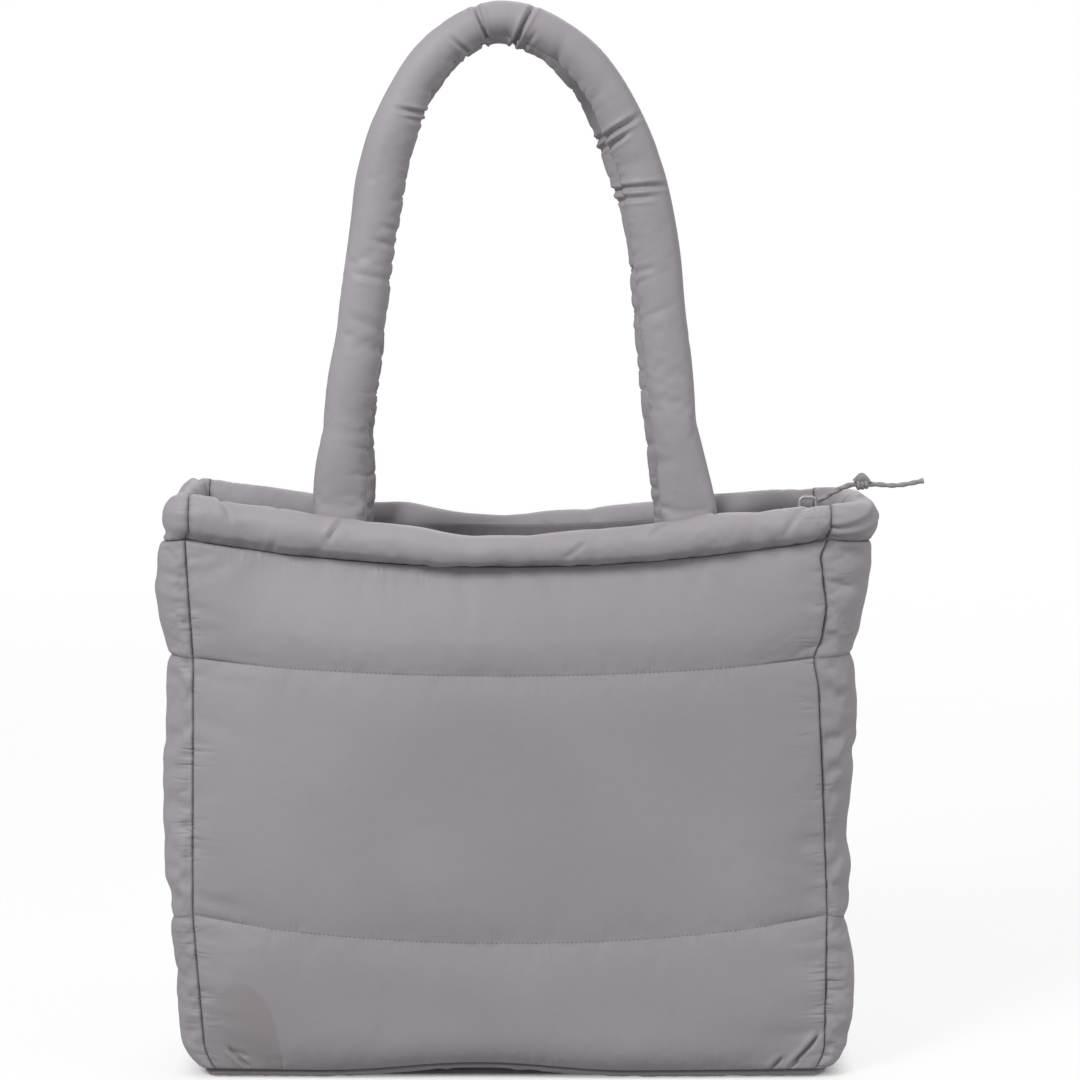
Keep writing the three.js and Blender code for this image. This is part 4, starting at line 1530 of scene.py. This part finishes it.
def runTree(name):
    # small rounded pieces set along a path at an even pitch, turned to lie on the surface
    tree = bpy.data.node_groups.new(name, "GeometryNodeTree")
    ports = tree.interface
    ports.new_socket(name="Geometry", in_out="INPUT", socket_type="NodeSocketGeometry")
    for label in ("Pitch", "Length", "Width", "Thickness", "Unevenness"):
        ports.new_socket(name=label, in_out="INPUT", socket_type="NodeSocketFloat")
    ports.new_socket(name="Material", in_out="INPUT", socket_type="NodeSocketMaterial")
    ports.new_socket(name="Geometry", in_out="OUTPUT", socket_type="NodeSocketGeometry")

    def put(kind, settings=None, sockets=None):
        return putNode(tree, kind, settings, sockets)

    entry = put("NodeGroupInput").outputs
    curve = put("GeometryNodeMeshToCurve", {}, {0: entry["Geometry"]})
    spacing = {"Curve": curve.outputs[0], "Length": entry["Pitch"]}
    spaced = put("GeometryNodeResampleCurve", {"mode": "LENGTH"}, spacing)
    tangent = put("GeometryNodeInputTangent")
    facing = put("GeometryNodeInputNamedAttribute", {"data_type": "FLOAT_VECTOR"}, {"Name": "facing"})
    alongPath = put("FunctionNodeAlignRotationToVector", {"axis": "X"}, {"Vector": tangent.outputs[0]})
    onSurface = put(
        "FunctionNodeAlignRotationToVector",
        {"axis": "Z", "pivot_axis": "X"},
        {"Rotation": alongPath.outputs[0], "Vector": facing.outputs["Attribute"]},
    )
    grain = put("GeometryNodeMeshUVSphere", {}, {"Segments": 8, "Rings": 5, "Radius": 0.5})
    measures = {0: entry["Length"], 1: entry["Width"], 2: entry["Thickness"]}
    size = put("ShaderNodeCombineXYZ", {}, measures)
    least = put("ShaderNodeMath", {"operation": "SUBTRACT"}, {0: 1.0, 1: entry["Unevenness"]})
    most = put("ShaderNodeMath", {"operation": "ADD"}, {0: 1.0, 1: entry["Unevenness"]})
    limits = {2: least.outputs[0], 3: most.outputs[0], "Seed": 5}
    chance = put("FunctionNodeRandomValue", {"data_type": "FLOAT"}, limits)
    scaling = {0: size.outputs[0], "Scale": chance.outputs[1]}
    scaled = put("ShaderNodeVectorMath", {"operation": "SCALE"}, scaling)
    instances = {
        "Points": spaced.outputs[0],
        "Instance": grain.outputs[0],
        "Rotation": onSurface.outputs[0],
        "Scale": scaled.outputs[0],
    }
    placed = put("GeometryNodeInstanceOnPoints", {}, instances)
    whole = put("GeometryNodeRealizeInstances", {}, {0: placed.outputs[0]})
    soft = put("GeometryNodeSetShadeSmooth", {}, {0: whole.outputs[0]})
    painted = put("GeometryNodeSetMaterial", {}, {0: soft.outputs[0], "Material": entry["Material"]})
    put("NodeGroupOutput", {}, {0: painted.outputs[0]})
    return tree


pieceRun = runTree("pieceRun")


def runAlong(name, runs, sizes, material):
    # runs are pairs: a path in millimetres, and the way that its pieces face at each of its points
    points, edges, ways = [], [], []
    for path, facing in runs:
        start = len(points)
        points += (np.asarray(path, float) * mm).tolist()
        ways += np.asarray(facing, float).tolist()
        edges += [(start + i, start + i + 1) for i in range(len(path) - 1)]
    mesh = bpy.data.meshes.new(name + "Path")
    mesh.from_pydata(points, edges, [])
    facingValues = mesh.attributes.new("facing", "FLOAT_VECTOR", "POINT")
    facingValues.data.foreach_set("vector", np.array(ways, np.float32).ravel())
    source = linked(name + "Path", mesh)
    modifier = source.modifiers.new("run", "NODES")
    modifier.node_group = pieceRun
    inputs = [item for item in pieceRun.interface.items_tree if item.in_out == "INPUT"]
    identifiers = {item.name: item.identifier for item in inputs}
    for label, value in sizes.items():
        modifier[identifiers[label]] = value if label == "Unevenness" else value * mm
    modifier[identifiers["Material"]] = material
    graph = bpy.context.evaluated_depsgraph_get()
    baked = bpy.data.meshes.new_from_object(source.evaluated_get(graph), depsgraph=graph)
    bpy.data.objects.remove(source)
    baked.name = name
    return finished(linked(name, baked), None)


stitch = {
    "quilt": {"Pitch": 2.5, "Length": 1.35, "Width": 0.5, "Thickness": 0.4, "Unevenness": 0.12},
    "corner": {"Pitch": 2.7, "Length": 2.0, "Width": 0.5, "Thickness": 0.45, "Unevenness": 0.15},
    "handle": {"Pitch": 3.0, "Length": 2.2, "Width": 0.55, "Thickness": 0.5, "Unevenness": 0.12},
    "teeth": {"Pitch": 1.7, "Length": 1.05, "Width": 3.4, "Thickness": 1.5, "Unevenness": 0.0},
    "lift": 0.1,
}


def seamRow(sideName, k):
    # the quilting seam above channel k, on the outside of a wall
    shape = wallShapes[sideName]
    row = (k + 1) * wallLook["faceRows" if sides[sideName]["face"] else "endRows"]
    points = shape["outer"][row] + shape["normal"][row] * stitch["lift"]
    return points[2:-2], shape["normal"][row][2:-2]


def cornerRow(face, faceEnd, end, endEnd):
    # the seam where a face meets an end: between their edges, facing out of the corner
    a, b = wallShapes[face], wallShapes[end]
    edge = b["outer"][:, endEnd]
    height = a["outer"][:, faceEnd, 2]
    beside = np.stack([np.interp(height, edge[:, 2], edge[:, i]) for i in range(3)], 1)
    points = (a["outer"][:, faceEnd] + beside) / 2
    facing = a["normal"][:, faceEnd] + b["normal"][0, endEnd] * 0.4
    facing = facing / np.linalg.norm(facing, axis=1)[:, None]
    return points[3:-3] + facing[3:-3] * 0.05, facing[3:-3]


for sideName in wallPieces:
    quiltRows = [seamRow(sideName, k) for k in range(len(channels) - 1)]
    runAlong("quiltStitches" + sideName.capitalize(), quiltRows, stitch["quilt"], quiltThread)

# a face runs counterclockwise seen from above, and so does an end
turnOrder = ("front", "right", "back", "left", "front")
cornerRows = [cornerRow(near, -1, far, 0) for near, far in zip(turnOrder, turnOrder[1:])]
runAlong("cornerStitches", cornerRows, stitch["corner"], seamThread)

for column, (points, normal) in handleShapes.items():
    inner = [(points[6:-6, 0] - normal[6:-6] * 0.1, -normal[6:-6])]
    runAlong("handleStitches" + column.capitalize(), inner, stitch["handle"], quiltThread)

for sideName, toothRow in toothRuns.items():
    runAlong("zipTeeth" + sideName.capitalize(), [toothRow], stitch["teeth"], toothPlastic)
print("stitches and teeth laid")

studio = {
    "floor": 2.4,
    "floorShare": 0.2,
    "below": 0.27,
    "above": 0.4,
    "backdrop": 1.0,
    "aim": (0, 0, 0.25),
    "key": {"place": (-1.15, -1.45, 1.6), "size": 0.8, "power": 37},
    "fill": {"place": (2.3, -0.8, 1.1), "size": 1.6, "power": 20},
    "top": {"place": (0.0, 0.4, 2.6), "size": 1.6, "power": 7},
    "back": {"place": (0.4, 2.4, 1.8), "size": 2.2, "power": 24},
}


def makeFloor():
    # a pale disc that fades into the pale backdrop
    shader = Shader("paleFloor")
    place = shader.objectPlace()
    grain = shader.noise(place, 3.0, 2.0, 0.5)
    colour = shader.colours(grain.ramp(0.3, 0.7), (0.9, 0.9, 0.9, 1), (0.92, 0.92, 0.92, 1))
    far = shader.add("ShaderNodeVectorMath", {"operation": "LENGTH"}, {0: place}, output=1)
    fade = 1 - far.ramp(studio["floor"] * 0.3, studio["floor"])
    x, y, _ = shader.axes(place)
    under = (1 - x.size().ramp(0.17, 0.2)) * (1 - y.size().ramp(0.035, 0.058))
    seen = (fade * studio["floorShare"] + under).clipped()
    material = shader.surface(colour, grain * 0.1 + 0.75, Alpha=seen)
    mesh = bpy.data.meshes.new("floor")
    points = [(studio["floor"] * math.cos(a), studio["floor"] * math.sin(a), -0.0002) for a in turnsOf(64)[0]]
    mesh.from_pydata(points, [], [tuple(range(len(points)))])
    mesh.materials.append(material)
    linked("floor", mesh)


def makeLights():
    world = bpy.data.worlds.new("paleWorld")
    world.use_nodes = True
    tree = world.node_tree
    way = putNode(tree, "ShaderNodeTexCoord")
    height = putNode(tree, "ShaderNodeSeparateXYZ", {}, {0: way.outputs["Generated"]})
    shares = {"From Min": -0.6, "From Max": 0.8, "To Min": studio["below"], "To Max": studio["above"]}
    sky = putNode(tree, "ShaderNodeMapRange", {}, {"Value": height.outputs[2], **shares})
    # the camera sees a white backdrop, and the bag is lit by the softer sky
    seen = putNode(tree, "ShaderNodeLightPath").outputs["Is Camera Ray"]
    shares = {"To Min": sky.outputs[0], "To Max": studio["backdrop"]}
    strength = putNode(tree, "ShaderNodeMapRange", {}, {"Value": seen, **shares})
    background = tree.nodes["Background"]
    background.inputs["Color"].default_value = (1, 1, 1, 1)
    tree.links.new(strength.outputs[0], background.inputs["Strength"])
    bpy.context.scene.world = world
    for name in ("key", "fill", "top", "back"):
        lamp = studio[name]
        data = bpy.data.lights.new(name + "Light", "AREA")
        data.shape = "DISK"
        data.size = lamp["size"]
        data.energy = lamp["power"]
        aimed(linked(name + "Light", data), lamp["place"], studio["aim"])


makeFloor()
makeLights()
bpy.context.scene.view_settings.view_transform = "Standard"
print("studio lit")
